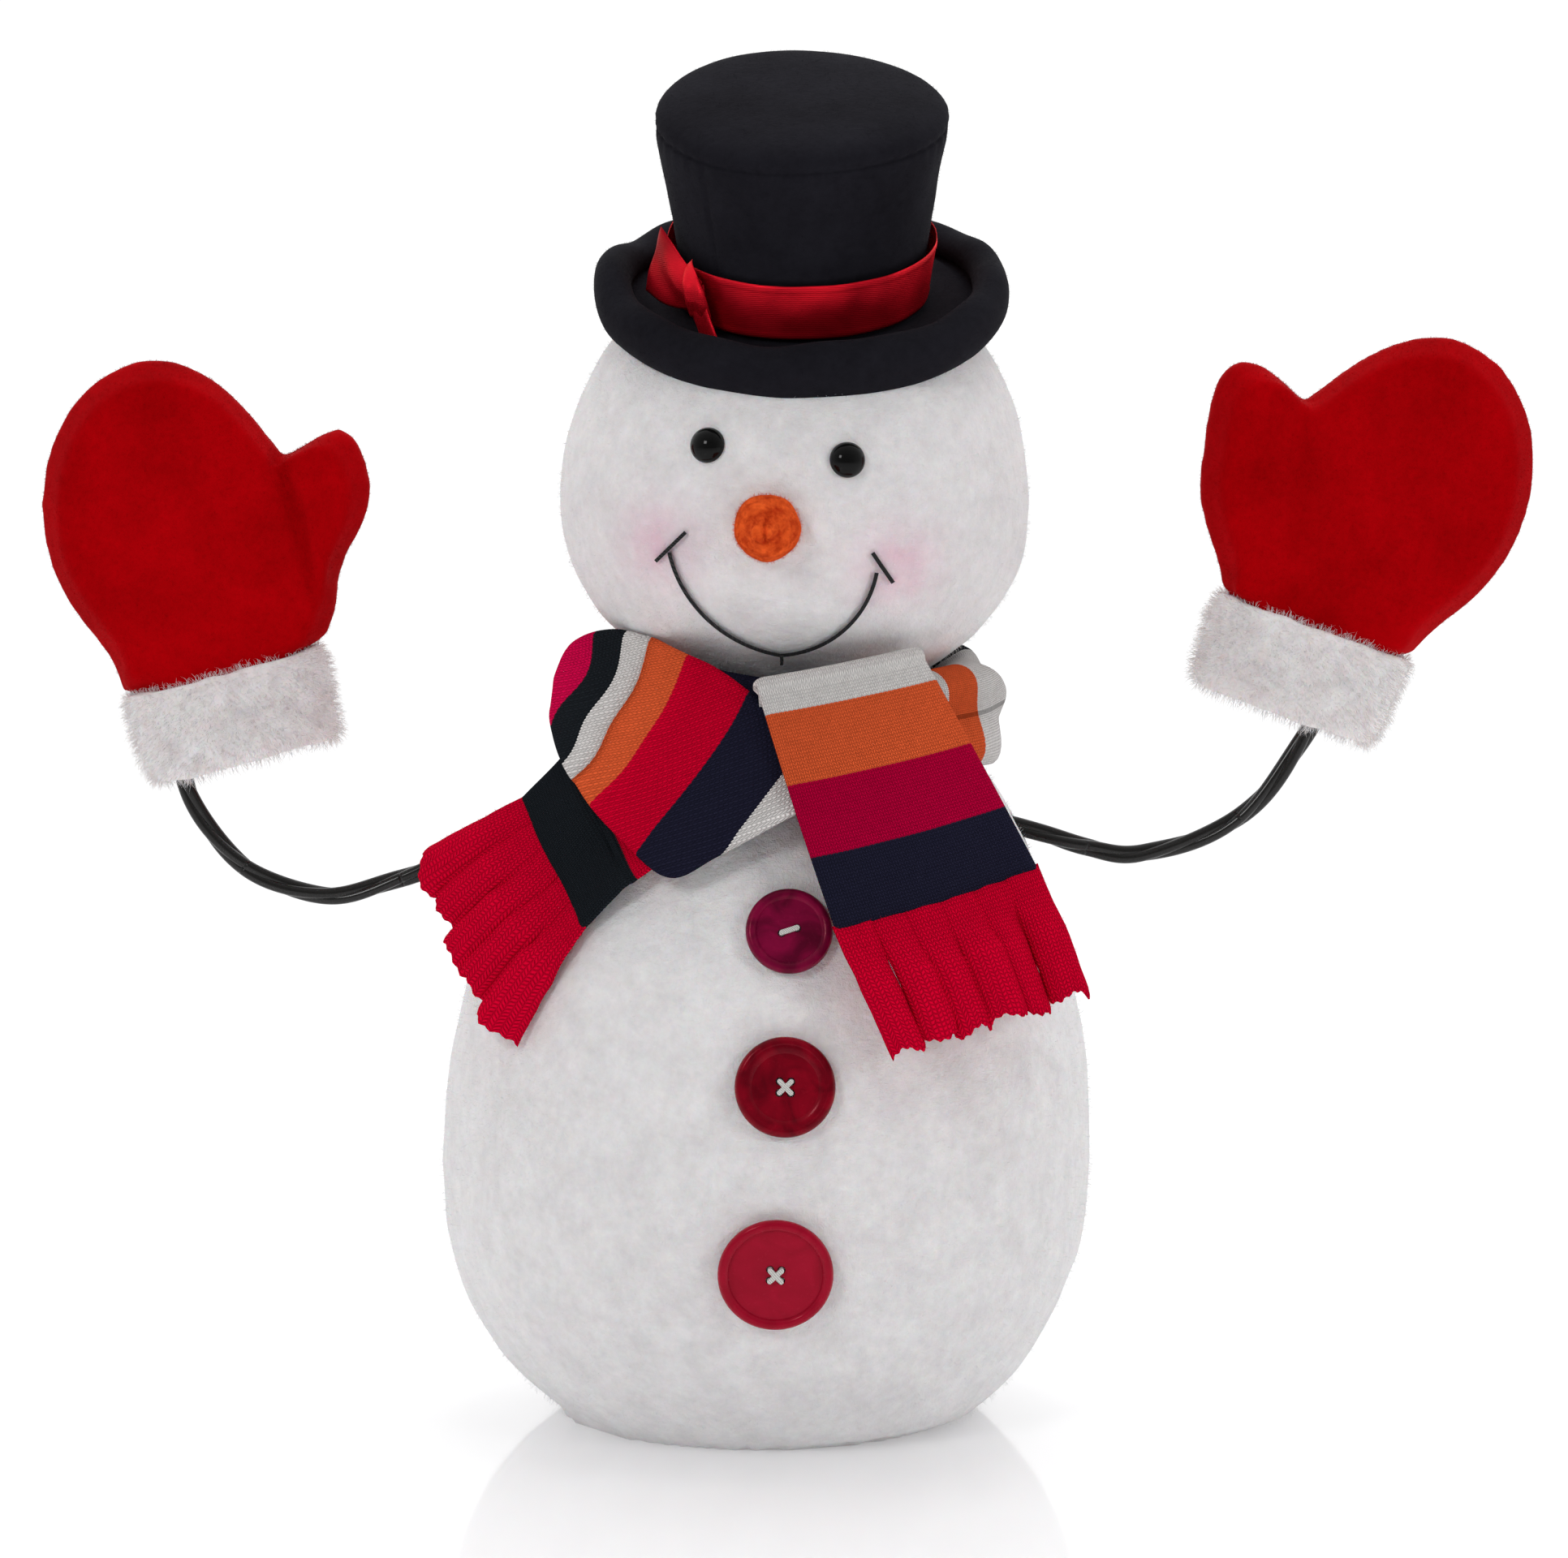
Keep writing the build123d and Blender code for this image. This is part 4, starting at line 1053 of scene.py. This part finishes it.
def make_neck_loop():
    """The scarf gathered round the neck, its stripes running across it, with a long navy stretch at its front
    that is painted shadow.
    """
    tree = cad_tree("scarf_neck_loop")
    low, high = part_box("scarf_neck_loop")
    centre = (low + high) / 2
    half_thick = 16 * MM
    ring_r = (high.x - low.x) / 2 - half_thick
    section = Vector((0, 0, 3 * MM))
    turns, around = 300, 56
    theta = np.linspace(0, FULL_TURN, turns)
    phi = np.linspace(0, FULL_TURN, around, endpoint=False)
    points = np.zeros((turns, around, 3))
    for i, t in enumerate(theta):
        out = Vector((math.sin(t), math.cos(t), 0))
        core = centre + out * ring_r + section
        for j, p in enumerate(phi):
            way = out * math.cos(p) + Vector((0, 0, math.sin(p)))
            hit = tree.ray_cast(core, way)
            points[i, j] = hit[0] if hit[0] is not None else core + way * 6 * MM
    for _ in range(5):
        points = (points + 0.5 * np.roll(points, 1, 1) + 0.5 * np.roll(points, -1, 1)) / 2
        points[1:-1] = (points[1:-1] * 2 + points[:-2] + points[2:]) / 4
    points[-1] = points[0]
    # painted shadow: the navy from 162 to 224 mm, at the loop's front, is not a stripe of the scarf but a
    # dark colour where the gap between the wrap and the right tail lies in shade
    stripes = [(0, SCARLET), (14, NAVY), (28, CREAM), (42, ORANGE), (56, ROSE), (70, BOTTLE), (84, CREAM),
               (121, ORANGE), (137, CREAM), (154, ORANGE), (162, NAVY), (224, SCARLET), (238, NAVY),
               (252, CREAM), (266, ORANGE), (280, ROSE), (294, BOTTLE), (302, CREAM), (313, ORANGE),
               (330, SCARLET), (356, NAVY), (376, CREAM), (420, CREAM)]
    loop = new_piece("scarf_neck_loop_knit", points.reshape(-1, 3), tube_faces(turns, around),
                     knit("neck loop knit", stripes))
    ring_mm, roll_mm = 60, 16
    add_value(loop, "along", np.repeat((theta * ring_mm)[:, None], around, 1))
    add_value(loop, "across", np.repeat((phi * roll_mm)[None], turns, 0))
    spot = points_of(loop)
    t = np.repeat(theta[:, None], around, 1).ravel()
    p = np.repeat(phi[None], turns, 0).ravel()
    folds = np.sin(4 * p + 2.0 * np.sin(t * 2) + 1.5 * ripple(spot, 0.03, 51))
    outside = np.clip(np.cos(p) + 0.5, 0, 1)
    right = np.clip(np.sin(t), 0, 1)
    raised = 1.7 * MM * folds + 0.9 * MM * ripple(spot, 0.014, 52) - 2.5 * MM * right
    push(loop, outside * raised - 0.8 * MM)
    spot = points_of(loop).reshape(turns, around, 3)
    front = np.clip(-np.cos(theta), 0, 1)[:, None] ** 4
    spot[..., 2] -= 5 * MM * front * np.clip(np.sin(phi), 0, 1)[None]
    spot[-1] = spot[0]
    put_points(loop, spot.reshape(-1, 3))
    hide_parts("scarf_neck_loop")
    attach(loop, "root")


def make_front_wrap():
    """The scarf's end brought over the front from the left of the neck, down under the right tail."""
    front = front_surface("scarf_front_wrap")
    low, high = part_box("scarf_front_wrap")
    w, d, x0, z0 = high.x - low.x, high.z - low.z, low.x, low.z
    edges = (
        ((-0.02, 0.72), (0.06, 0.92), (0.22, 1.00), (0.40, 0.985), (0.62, 0.90), (0.84, 0.74), (1.00, 0.58)),
        ((-0.02, 0.66), (-0.01, 0.54), (0.06, 0.36), (0.25, 0.14), (0.46, -0.03), (0.66, 0.07), (1.00, 0.28)))
    top, bottom = (smooth_line([(x0 + part * w, 0, z0 + level * d) for part, level in edge], 70)
                   for edge in edges)
    share = np.linspace(0, 1, 60)[:, None, None]
    flat = top[None] * (1 - share) + bottom[None] * share
    x, z = flat[..., 0], flat[..., 2]
    knee = z0 + 0.70 * d
    soft = 7 * MM
    below = soft * np.log1p(np.exp((knee - z) / soft))
    left = np.clip((x0 + 0.45 * w - x) / (0.4 * w), 0, 1)
    along = x + 0.28 * (z0 + d - z) + 0.52 * below + left * 1.8 * MM * np.sin(z / (4.2 * MM) + 1)
    y = front(x, z) + 2 * MM
    spot = np.stack([x, y, z], axis=-1)
    run = (along - along.min()) / MM
    fold = np.sin(run / 5.4 + 1.4 * np.sin(z / 0.02)) * (1.3 + 0.7 * left)
    deep = -4.0 * np.exp(-((run - 30) / 3.4) ** 2) + 3.0 * np.exp(-((run - 41) / 6.5) ** 2)
    fade = np.clip(1.2 - share[..., 0] * 0.7, 0.2, 1)
    spot[..., 1] -= (fold + deep) * MM * fade + 0.7 * MM * ripple(spot, 0.016, 55).reshape(x.shape)
    hem = np.clip((share[..., 0] - 0.9) / 0.1, 0, 1)
    spot[..., 1] += 1.5 * MM * hem**2
    zero = along.min() / MM
    stripes = [(zero - 5, ROSE), (-52.0, BOTTLE), (-42.5, CREAM), (-35.0, ORANGE), (-22.0, SCARLET),
               (2.0, NAVY), (28.5, CREAM), (90, CREAM)]
    across = z - 0.35 * x
    wrap = cloth("scarf_front_wrap_knit", spot, 3.4 * MM, across, along, knit("front wrap knit", stripes))
    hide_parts("scarf_front_wrap")
    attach(wrap, "root")


def forward(way):
    """The way or its opposite, whichever leads to the front."""
    return -way if way[1] > 0 else way


def make_right_tail():
    """The right tail: it comes over a fold at the neck and hangs down the front."""
    lift = joints["right_scarf_lift"]
    pivot, axis = np.array(lift["pos_m"]), unit(np.array(lift["axis"]))
    axis = axis if axis[0] > 0 else -axis
    front = front_surface("right_scarf_tail")
    tl, tr, br, bl = corners_of("right_scarf_tail")
    columns = 54
    br = br + np.array([2.5, -5.0]) * MM
    drop = 6.5 * MM
    u = np.linspace(0, 1, columns)[None]
    v = np.linspace(drop / np.linalg.norm((tl + tr - bl - br) / 2), 1, 78)[:, None]
    waist = 1 + 0.015 * np.sin(v * math.pi)
    x = (tl[0] * (1 - u) + tr[0] * u) * (1 - v) + (bl[0] * (1 - u) + br[0] * u) * v
    z = (tl[1] * (1 - u) + tr[1] * u) * (1 - v) + (bl[1] * (1 - u) + br[1] * u) * v
    x = x * waist + (1 - waist) * x.mean(1, keepdims=True)
    y = front(x, z) + 2 * MM
    mid = np.stack([x, y, z], axis=-1)
    edge = (2 * np.abs(u - 0.5)) ** 6
    waves = np.sin(u * 5.5 + 0.8) * (0.3 + v) + 0.8 * np.sin(u * 11 + 2 * v) * v**2
    mid[..., 1] -= waves * MM * (1 - edge)
    mid[..., 1] -= 0.5 * MM * ripple(mid, 0.02, 61).reshape(x.shape)
    fall = unit(np.cross(axis, (0, 1, 0.2)))
    fall = fall if fall[2] < 0 else -fall
    inward = unit(np.cross(axis, fall))
    inward = inward if inward[1] > 0 else -inward
    turn_r = 2.8 * MM
    first = mid[0]
    over = []
    for angle in np.linspace(math.pi, 0, 12, endpoint=False)[::-1]:
        over.append(first + inward * turn_r * (1 - math.cos(angle)) - fall * turn_r * math.sin(angle) * 0.9)
    behind = [over[0] + fall * step * MM for step in (5, 2.5)]
    grid = np.concatenate([np.stack(behind + over), mid])
    run = np.cumsum(np.linalg.norm(np.diff(grid.mean(1), axis=0), axis=1))
    run = np.concatenate([[0], run])
    run = run - run[len(behind) + len(over)] + drop
    along = np.repeat(run[:, None], columns, 1)
    across = np.repeat(u * np.linalg.norm(mid[0, -1] - mid[0, 0]), len(grid), 0)
    wide, cream = 23.6, 13.5
    stripes = [(-40, CREAM), (cream, ORANGE), (cream + wide, CRIMSON), (cream + 2 * wide, NAVY),
               (cream + 3 * wide, SCARLET), (120, SCARLET)]
    tail = cloth("right_scarf_tail_knit", grid, 3.6 * MM, across, along, knit("right tail knit", stripes))
    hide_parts("right_scarf_tail", "scarf_tail_fold")
    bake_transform(tail)
    return mid[-1]


def make_left_tail():
    """The short end of the left tail that shows below the wrap."""
    joint = joints["left_scarf_lift"]
    pivot = np.array(joint["pos_m"])
    centre, ways = axes_of("left_scarf_tail")
    out = forward(ways[2])
    side = unit(np.array(joint["axis"]) - out * (np.array(joint["axis"]) @ out))
    down = unit(np.cross(side, out))
    down = down if (middle("left_scarf_fringe") - centre) @ down > 0 else -down
    flat = cad_points("left_scarf_tail") - pivot
    width = np.ptp(flat @ side)
    length = (flat @ down).max()
    rows, columns = 40, 46
    tucked = 13 * MM
    u = np.linspace(-0.5, 0.5, columns)[None]
    v = np.linspace(-tucked, length, rows)[:, None]
    under = np.clip(1 - (v + tucked) / (16 * MM), 0, 1)
    mid = pivot + side * (u * width)[..., None] + down * (v + 0 * u)[..., None]
    mid = mid - out * (4.5 * MM * under + 0 * u)[..., None]
    wave = 0.9 * np.sin(u * 9 + 0.5) * (v > 0) + 0.5 * ripple(mid, 0.014, 65).reshape(mid.shape[:2])
    mid = mid + out * (wave * MM)[..., None]
    stripes = [(-30, SCARLET), (-3, BOTTLE), (length / MM - 1.5, SCARLET), (60, SCARLET)]
    tail = cloth("left_scarf_tail_knit", mid, 3.6 * MM, np.repeat(u * width, rows, 0),
                 np.repeat(v, columns, 1), knit("left tail knit", stripes))
    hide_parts("left_scarf_tail")
    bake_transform(tail)
    return mid[-1]


def strips_of(name):
    """The corner points of each strip of a fringe."""
    work = bmesh.new()
    work.from_mesh(nodes[name].data)
    bmesh.ops.remove_doubles(work, verts=work.verts, dist=SAME_SPOT)
    found = [np.array([vert.co for vert in group]) for group in islands(work)]
    work.free()
    return found


def make_fringe(side_name, edge, seed):
    """Knitted strips cut at the scarf's end, curled at their cut edges. edge is the tail's lower one."""
    name = f"{side_name}_scarf_fringe"
    random = np.random.default_rng(seed)
    centre, ways = axes_of(name)
    out = forward(ways[2])
    tail = middle(f"{side_name}_scarf_tail")
    fall = unit(centre - tail - out * ((centre - tail) @ out))
    side = np.cross(out, fall)
    if (edge[-1] - edge[0]) @ side < 0:
        edge = edge[::-1]
    strips = sorted(strips_of(name), key=lambda p: (p.mean(0) - centre) @ side)
    share = np.linspace(0, 1, len(edge))
    rows, columns = 34, 22
    v = np.linspace(-0.05, 1, rows)[:, None]
    w = np.linspace(-1, 1, columns)[None]
    free = np.clip((v - 0.16) / 0.3, 0, 1)
    parts, faces, across, along = [], [], [], []
    for number, corners in enumerate(strips):
        drop = (corners - tail) @ fall
        end = corners[drop > drop.max() - 0.3 * np.ptp(drop)]
        spots = [np.array([np.interp(x, share, edge[:, k]) for k in range(3)])
                 for x in np.array((number, number + 0.5, number + 1)) / len(strips)]
        root, root_w = spots[1], np.linalg.norm(spots[2] - spots[0])
        end_w = np.ptp(end @ side) * 1.34
        way = (end.mean(0) - root) * random.uniform(0.94, 1.05)
        run = np.linalg.norm(way)
        across_way = unit(unit(spots[2] - spots[0]) * (1 - v) + unit(np.cross(out, way)) * v)
        sway, lift, twist = random.uniform(-0.6, 0.6), random.uniform(-0.5, 1.5), random.uniform(-0.5, 0.5)
        line = root + way * v + side * (sway * MM * np.sin(v * math.pi))
        off = lift * v**2 + 1.3 * np.sin(np.clip(v, 0, 1) * 3) + 1.1 * (number % 2) * free
        line = line + out * MM * off
        width = root_w * 1.1 + (end_w - root_w * 1.1) * v
        roll = 0.25 + free * random.uniform(0.95, 1.3)
        x = width / 2 * np.sin(w * roll) / np.sin(np.minimum(roll, 1.5)) * (1 - 0.06 * free)
        depth = width / 2 * (np.cos(w * roll) - np.cos(roll)) / np.sin(np.minimum(roll, 1.5)) * 0.8
        depth = depth - 1.2 * MM * free + twist * x * free
        grid = line[:, None] + across_way[:, None] * x[..., None] + out * depth[..., None]
        ragged = (1.1 * np.sin(w * 4 + number * 2.1) + 0.5 * np.sin(w * 17 + number)) * MM
        grid = grid + unit(way) * (ragged * np.clip(v, 0, 1) ** 4)[..., None]
        grid = grid + out * (0.4 * MM * ripple(grid, 0.006, seed + number).reshape(rows, columns))[..., None]
        u_run = (w + 2.3 * number) * root_w / 2 + 0 * v
        v_run = v * run + 0 * w
        piece = cloth(f"{side_name}_strip_{number}", grid, 2.2 * MM, u_run, v_run, SCARLET_KNIT)
        start = sum(len(p) for p in parts)
        parts.append(points_of(piece))
        faces += [[start + i for i in face.vertices] for face in piece.data.polygons]
        across += [u_run.ravel()] * 2
        along += [v_run.ravel()] * 2
        bpy.data.objects.remove(piece)
    fringe = new_piece(f"{side_name}_scarf_fringe_knit", np.concatenate(parts), faces, SCARLET_KNIT)
    add_value(fringe, "across", np.concatenate(across) / MM)
    add_value(fringe, "along", np.concatenate(along) / MM)
    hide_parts(name)
    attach(fringe, f"{side_name}_scarf_end")
    fluff = pile(f"{side_name}_fringe_fluff", fringe, f"{side_name}_scarf_end", 3000,
                 1.3 * MM, 0.035 * MM, 1.0, SCARLET_KNIT, seed + 50)
    for key in ("across", "along"):
        add_value(fluff, key, np.zeros(len(fluff.data.vertices)))


# ---------------------------------------------------------------- arms

def nearest(line, point):
    return int(np.argmin(np.linalg.norm(line - point, axis=1)))


def ring_middle(name, a, b):
    """The middle of a wire node about half way from a to b."""
    points = cad_points(name)
    share = (points - a) @ (b - a) / ((b - a) @ (b - a))
    return points[np.abs(share - 0.5) < 0.2].mean(0)


def strands(name, line, start_run):
    """Three coated wires twisted about a line; start_run keeps the twist going from piece to piece."""
    pitch = 92 * MM
    twist = FULL_TURN / pitch
    way = unit(np.gradient(line, axis=0))
    level = np.array([0.0, 1.0, 0.0])
    other = unit(np.cross(way, level))
    level = np.cross(other, way)
    run = start_run + np.concatenate([[0], np.cumsum(np.linalg.norm(np.diff(line, axis=0), axis=1))])
    strand_r, offset, sides = 1.9 * MM, 1.3 * MM, 18
    points, faces = [], []
    for k in range(3):
        phase = run * twist + FULL_TURN * k / 3
        centre = line + offset * (other * np.cos(phase)[:, None] + level * np.sin(phase)[:, None])
        first = len(points) * len(line) * sides
        turn = np.linspace(0, FULL_TURN, sides, endpoint=False)
        ring = centre[:, None] + strand_r * (other[:, None] * np.cos(turn)[None, :, None]
                                             + level[:, None] * np.sin(turn)[None, :, None])
        points.append(ring.reshape(-1, 3))
        faces += tube_faces(len(line), sides, first)
        faces.append(tuple(first + j for j in reversed(range(sides))))
        faces.append(tuple(first + (len(line) - 1) * sides + j for j in range(sides)))
    obj = new_piece(name, np.concatenate(points), faces, WIRE_COAT)
    return obj, run[-1]


def make_arms():
    """The twisted armature wires, one run through the body and out to both mittens."""
    inner = {}
    for side in SIDES:
        shoulder, elbow, wrist = (np.array(joints[f"{side}_{name}"]["pos_m"])
                                  for name in ("shoulder_bend", "elbow_bend", "wrist_turn"))
        upper = ring_middle(f"{side}_upper_wire", shoulder, elbow)
        fore = ring_middle(f"{side}_forearm_wire", elbow, wrist)
        beyond, inside, rise, bend = 1.8, 26 * MM, 9 * MM, 7 * MM
        tip = wrist + (middle(f"{side}_hand_wire") - wrist) * beyond
        sign = -1 if side == "left" else 1
        start = shoulder - np.array([sign * inside, 0, -rise])
        stops = [start, shoulder, upper, elbow, fore, wrist, tip]
        line = smooth_line(stops, 240)
        cuts = [0, nearest(line, upper), nearest(line, fore), len(line) - 1]
        bodies = (("root", "upper_arm", shoulder), ("upper_arm", "forearm", elbow),
                  ("forearm", "hand", wrist))
        names = (("shoulder", "upper_wire"), ("elbow", "forearm_wire"), ("wrist", "hand_wire"))
        run = 0
        for a, b, (parent, child, centre), (word, node_name) in zip(cuts, cuts[1:], bodies, names):
            part = line[a:b + 1]
            obj, run = strands(f"{side}_{word}_wire_strands", part, run)
            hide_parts(f"{side}_{node_name}")
            if side == "left" and word == "shoulder":
                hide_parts("shoulder_wire")
            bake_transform(obj)
        inner[side] = line[0]
    raised = np.array([0, 0, 6 * MM])
    left, right = inner["left"], inner["right"]
    stops = [left, left * 0.7 + right * 0.3 + raised, left * 0.3 + right * 0.7 + raised, right]
    through = smooth_line(stops, 80)
    rod = strands("body_wire_strands", through, 0)[0]
    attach(rod, "root")


def make_mitten(side, seed):
    """A velvet mitten, softly filled, with a crease where the thumb meets the palm and a fur cuff."""
    names = [f"{side}_mitten_{part}" for part in ("palm", "back", "stuffing")]
    mitten = remeshed(f"{side}_mitten_velvet", names, 1.9 * MM, RED_VELVET, 9)
    low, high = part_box(names[0])
    size = high - low
    spot = points_of(mitten)
    crease = {"left": ((0.725, 0.675), (0.855, 0.32)), "right": ((0.29, 0.78), (0.27, 0.35))}[side]
    a, b = (np.array([low.x + size.x * p[0], low.z + size.z * p[1]]) for p in crease)
    flat = spot[:, (0, 2)]
    share = np.clip(((flat - a) @ (b - a)) / ((b - a) @ (b - a)), -0.05, 1)
    away = np.linalg.norm(flat - (a + share[:, None] * (b - a)), axis=1)
    depth = {"left": 5.2, "right": 1.8}[side]
    groove = depth * MM * np.exp(-(away / (1.9 * MM)) ** 2) * (1 - 0.55 * np.clip(share, 0, 1))
    shoulder = 0.9 * MM * np.exp(-((away - 6 * MM) / (3 * MM)) ** 2)
    y = spot[:, 1]
    facing = np.abs(points_of(mitten, "normal")[:, 1])
    seam = 0.9 * MM * np.exp(-(y / (1.1 * MM)) ** 2) * (1 - facing)
    lumps = 1.3 * MM * ripple(spot, 0.034, seed) + 0.45 * MM * ripple(spot, 0.012, seed + 1)
    crown = 1.0 * MM * facing + 0.6 * MM
    tip = {"left": (0.92, 0.86), "right": (0.06, 0.86)}[side]
    reach = {"left": (0.10, 0.99), "right": (-0.25, 0.97)}[side]
    tip = np.array([low.x + size.x * tip[0], low.z + size.z * tip[1]])
    grown = 5.5 * MM * np.exp(-(np.linalg.norm(flat - tip, axis=1) / (13 * MM)) ** 2)
    spot[:, 0] += grown * reach[0]
    spot[:, 2] += grown * reach[1]
    if side == "left":
        waist = np.array([low.x + size.x * 0.99, low.z + size.z * 0.36])
        spot[:, 0] -= 8 * MM * np.exp(-(np.linalg.norm(flat - waist, axis=1) / (17 * MM)) ** 2)
    put_points(mitten, spot)
    push(mitten, lumps * facing + crown - groove * facing + shoulder * facing - seam)
    softened(mitten)
    mitten.data.shade_smooth()
    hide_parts(*names)
    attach(mitten, f"{side}_hand")
    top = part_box(f"{side}_mitten_cuff")[1].z
    pile(f"{side}_mitten_nap", mitten, f"{side}_hand", 15000, 1.0 * MM, 0.04 * MM, 1.0,
         RED_VELVET, seed + 20, where=lambda p: p[:, 2] > top - 12 * MM)
    make_cuff(side, seed)


def make_cuff(side, seed):
    """The fur cuff: a soft thick band and its long pile."""
    name = f"{side}_mitten_cuff"
    points = cad_points(name)
    centre = middle(name)
    flat = (points - centre)[:, (0, 2)]
    ways = np.linalg.eigh(flat.T @ flat)[1]
    long = np.array([ways[0, 1], 0, ways[1, 1]])
    long = long * np.sign(long[0])
    up = np.array([-long[2], 0, long[0]])
    half_w, half_h = np.ptp(points @ long) / 2, np.ptp(points @ up) / 2
    half_d = np.ptp(points[:, 1]) / 2
    centre = (long * (points @ long).min() + long * half_w + up * ((points @ up).min() + half_h)
              + np.array([0, centre[1], 0]))
    columns, rows = 120, 44
    angle = np.linspace(0, FULL_TURN, columns, endpoint=False)
    turn = np.linspace(0, FULL_TURN, rows, endpoint=False)
    wall = 4.4 * MM
    grid = np.zeros((rows, columns, 3))
    for i, t in enumerate(turn):
        bulge = np.sign(math.cos(t)) * abs(math.cos(t)) ** 0.7
        rise = np.sign(math.sin(t)) * abs(math.sin(t)) ** 0.6
        out = bulge * wall * 0.6 - wall * 0.45
        taper = 1 + 0.03 * rise
        reach = half_h + (2.5 * MM if rise < 0 else -1.5 * MM)
        grid[i] = (centre + np.outer(np.cos(angle), long) * (half_w * taper + out)
                   + np.outer(np.sin(angle), (0, 1, 0)) * (half_d * taper + out) + up * rise * reach)
    faces = [(i * columns + j, ((i + 1) % rows) * columns + j,
              ((i + 1) % rows) * columns + (j + 1) % columns, i * columns + (j + 1) % columns)
             for i in range(rows) for j in range(columns)]
    band = new_piece(f"{side}_cuff_band", grid.reshape(-1, 3), faces, WHITE_FUR)
    face_outward(band)
    spot = points_of(band)
    push(band, 0.9 * MM * ripple(spot, 0.012, seed + 3) + 0.5 * MM * ripple(spot, 0.005, seed + 4))
    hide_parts(name)
    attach(band, f"{side}_hand")
    pile(f"{side}_cuff_fur", band, f"{side}_hand", 19000, 4.6 * MM, 0.07 * MM, 1.0,
         WHITE_FUR, seed + 30, comb=-up * 0.5)


# ---------------------------------------------------------------- stage

def make_stage():
    """A pale glossy floor, a white studio round it, soft lamps and the camera."""
    far = 6
    corners = [(-far, -far, 0), (far, -far, 0), (far, far, 0), (-far, far, 0)]
    floor = new_piece("floor", corners, [(0, 1, 2, 3)])
    made, tree, shader = material("white acrylic", Roughness=0.06, Specular_IOR_Level=0.6, Coat_Weight=0.2)
    shader.inputs["Base Color"].default_value = (0.90, 0.90, 0.91, 1)
    shader.inputs["Emission Color"].default_value = (1, 1, 1, 1)
    shader.inputs["Emission Strength"].default_value = 0.14
    haze = noise_at(tree, 3.0, 2.0)
    tree.links.new(node(tree, "MapRange", {"Value": haze, "To Min": 0.05, "To Max": 0.09}).outputs[0],
                   shader.inputs["Roughness"])
    floor.data.materials.append(made)

    scene = bpy.context.scene
    scene.view_settings.view_transform = "Standard"
    world = bpy.data.worlds.new("studio")
    scene.world = world
    world.use_nodes = True
    tree = world.node_tree
    sky = tree.nodes["Background"]
    sky.inputs["Color"].default_value = (1, 1, 1, 1)
    way = node(tree, "SeparateXYZ", {0: node(tree, "TexCoord").outputs["Generated"]})
    level = node(tree, "MapRange", {"Value": way.outputs["Y"], "From Min": -0.9, "From Max": 0.5,
                                    "To Min": 0.22, "To Max": 1.08}).outputs[0]
    seen = node(tree, "LightPath").outputs["Is Camera Ray"]
    tree.links.new(node(tree, "Mix", {0: seen, 2: level, 3: 1.05}).outputs[0], sky.inputs["Strength"])

    look = Vector(((cad_low.x + cad_high.x) / 2, 0, (cad_low.z + cad_high.z) / 2))
    for name, place, size, power in (("key", (-1.0, -1.7, 1.3), 0.5, 9), ("fill", (1.5, -1.3, 0.9), 0.5, 6),
                                     ("top", (0.1, 0.3, 2.0), 1.0, 9)):
        lamp = bpy.data.lights.new(name, "AREA")
        lamp.size, lamp.energy = size, power
        obj = bpy.data.objects.new(name, lamp)
        obj.location = Vector(place)
        obj.rotation_euler = (look - Vector(place)).to_track_quat("-Z", "Y").to_euler()
        obj.visible_glossy = name == "key"
        scene.collection.objects.link(obj)

    camera = bpy.data.objects.new("camera", bpy.data.cameras.new("camera"))
    scene.collection.objects.link(camera)
    aside, back, eye_level, aim_level = 0.008, 2.3, 0.52, 0.213
    place, aim = Vector((aside, -back, eye_level)), Vector((aside, 0, aim_level))
    camera.location = place
    camera.rotation_euler = (aim - place).to_track_quat("-Z", "Y").to_euler()
    camera.data.lens = 160.1
    camera.data.sensor_width = 36
    camera.data.clip_start, camera.data.clip_end = 0.01, 50
    scene.camera = camera


make_stage()
finish_cad_nodes()
make_body()
make_head()
make_nose()
make_crown()
make_brim()
make_ribbon()
make_neck_loop()
make_front_wrap()
make_fringe("right", make_right_tail(), 83)
make_fringe("left", make_left_tail(), 71)
make_arms()
make_mitten("left", 91)
make_mitten("right", 101)
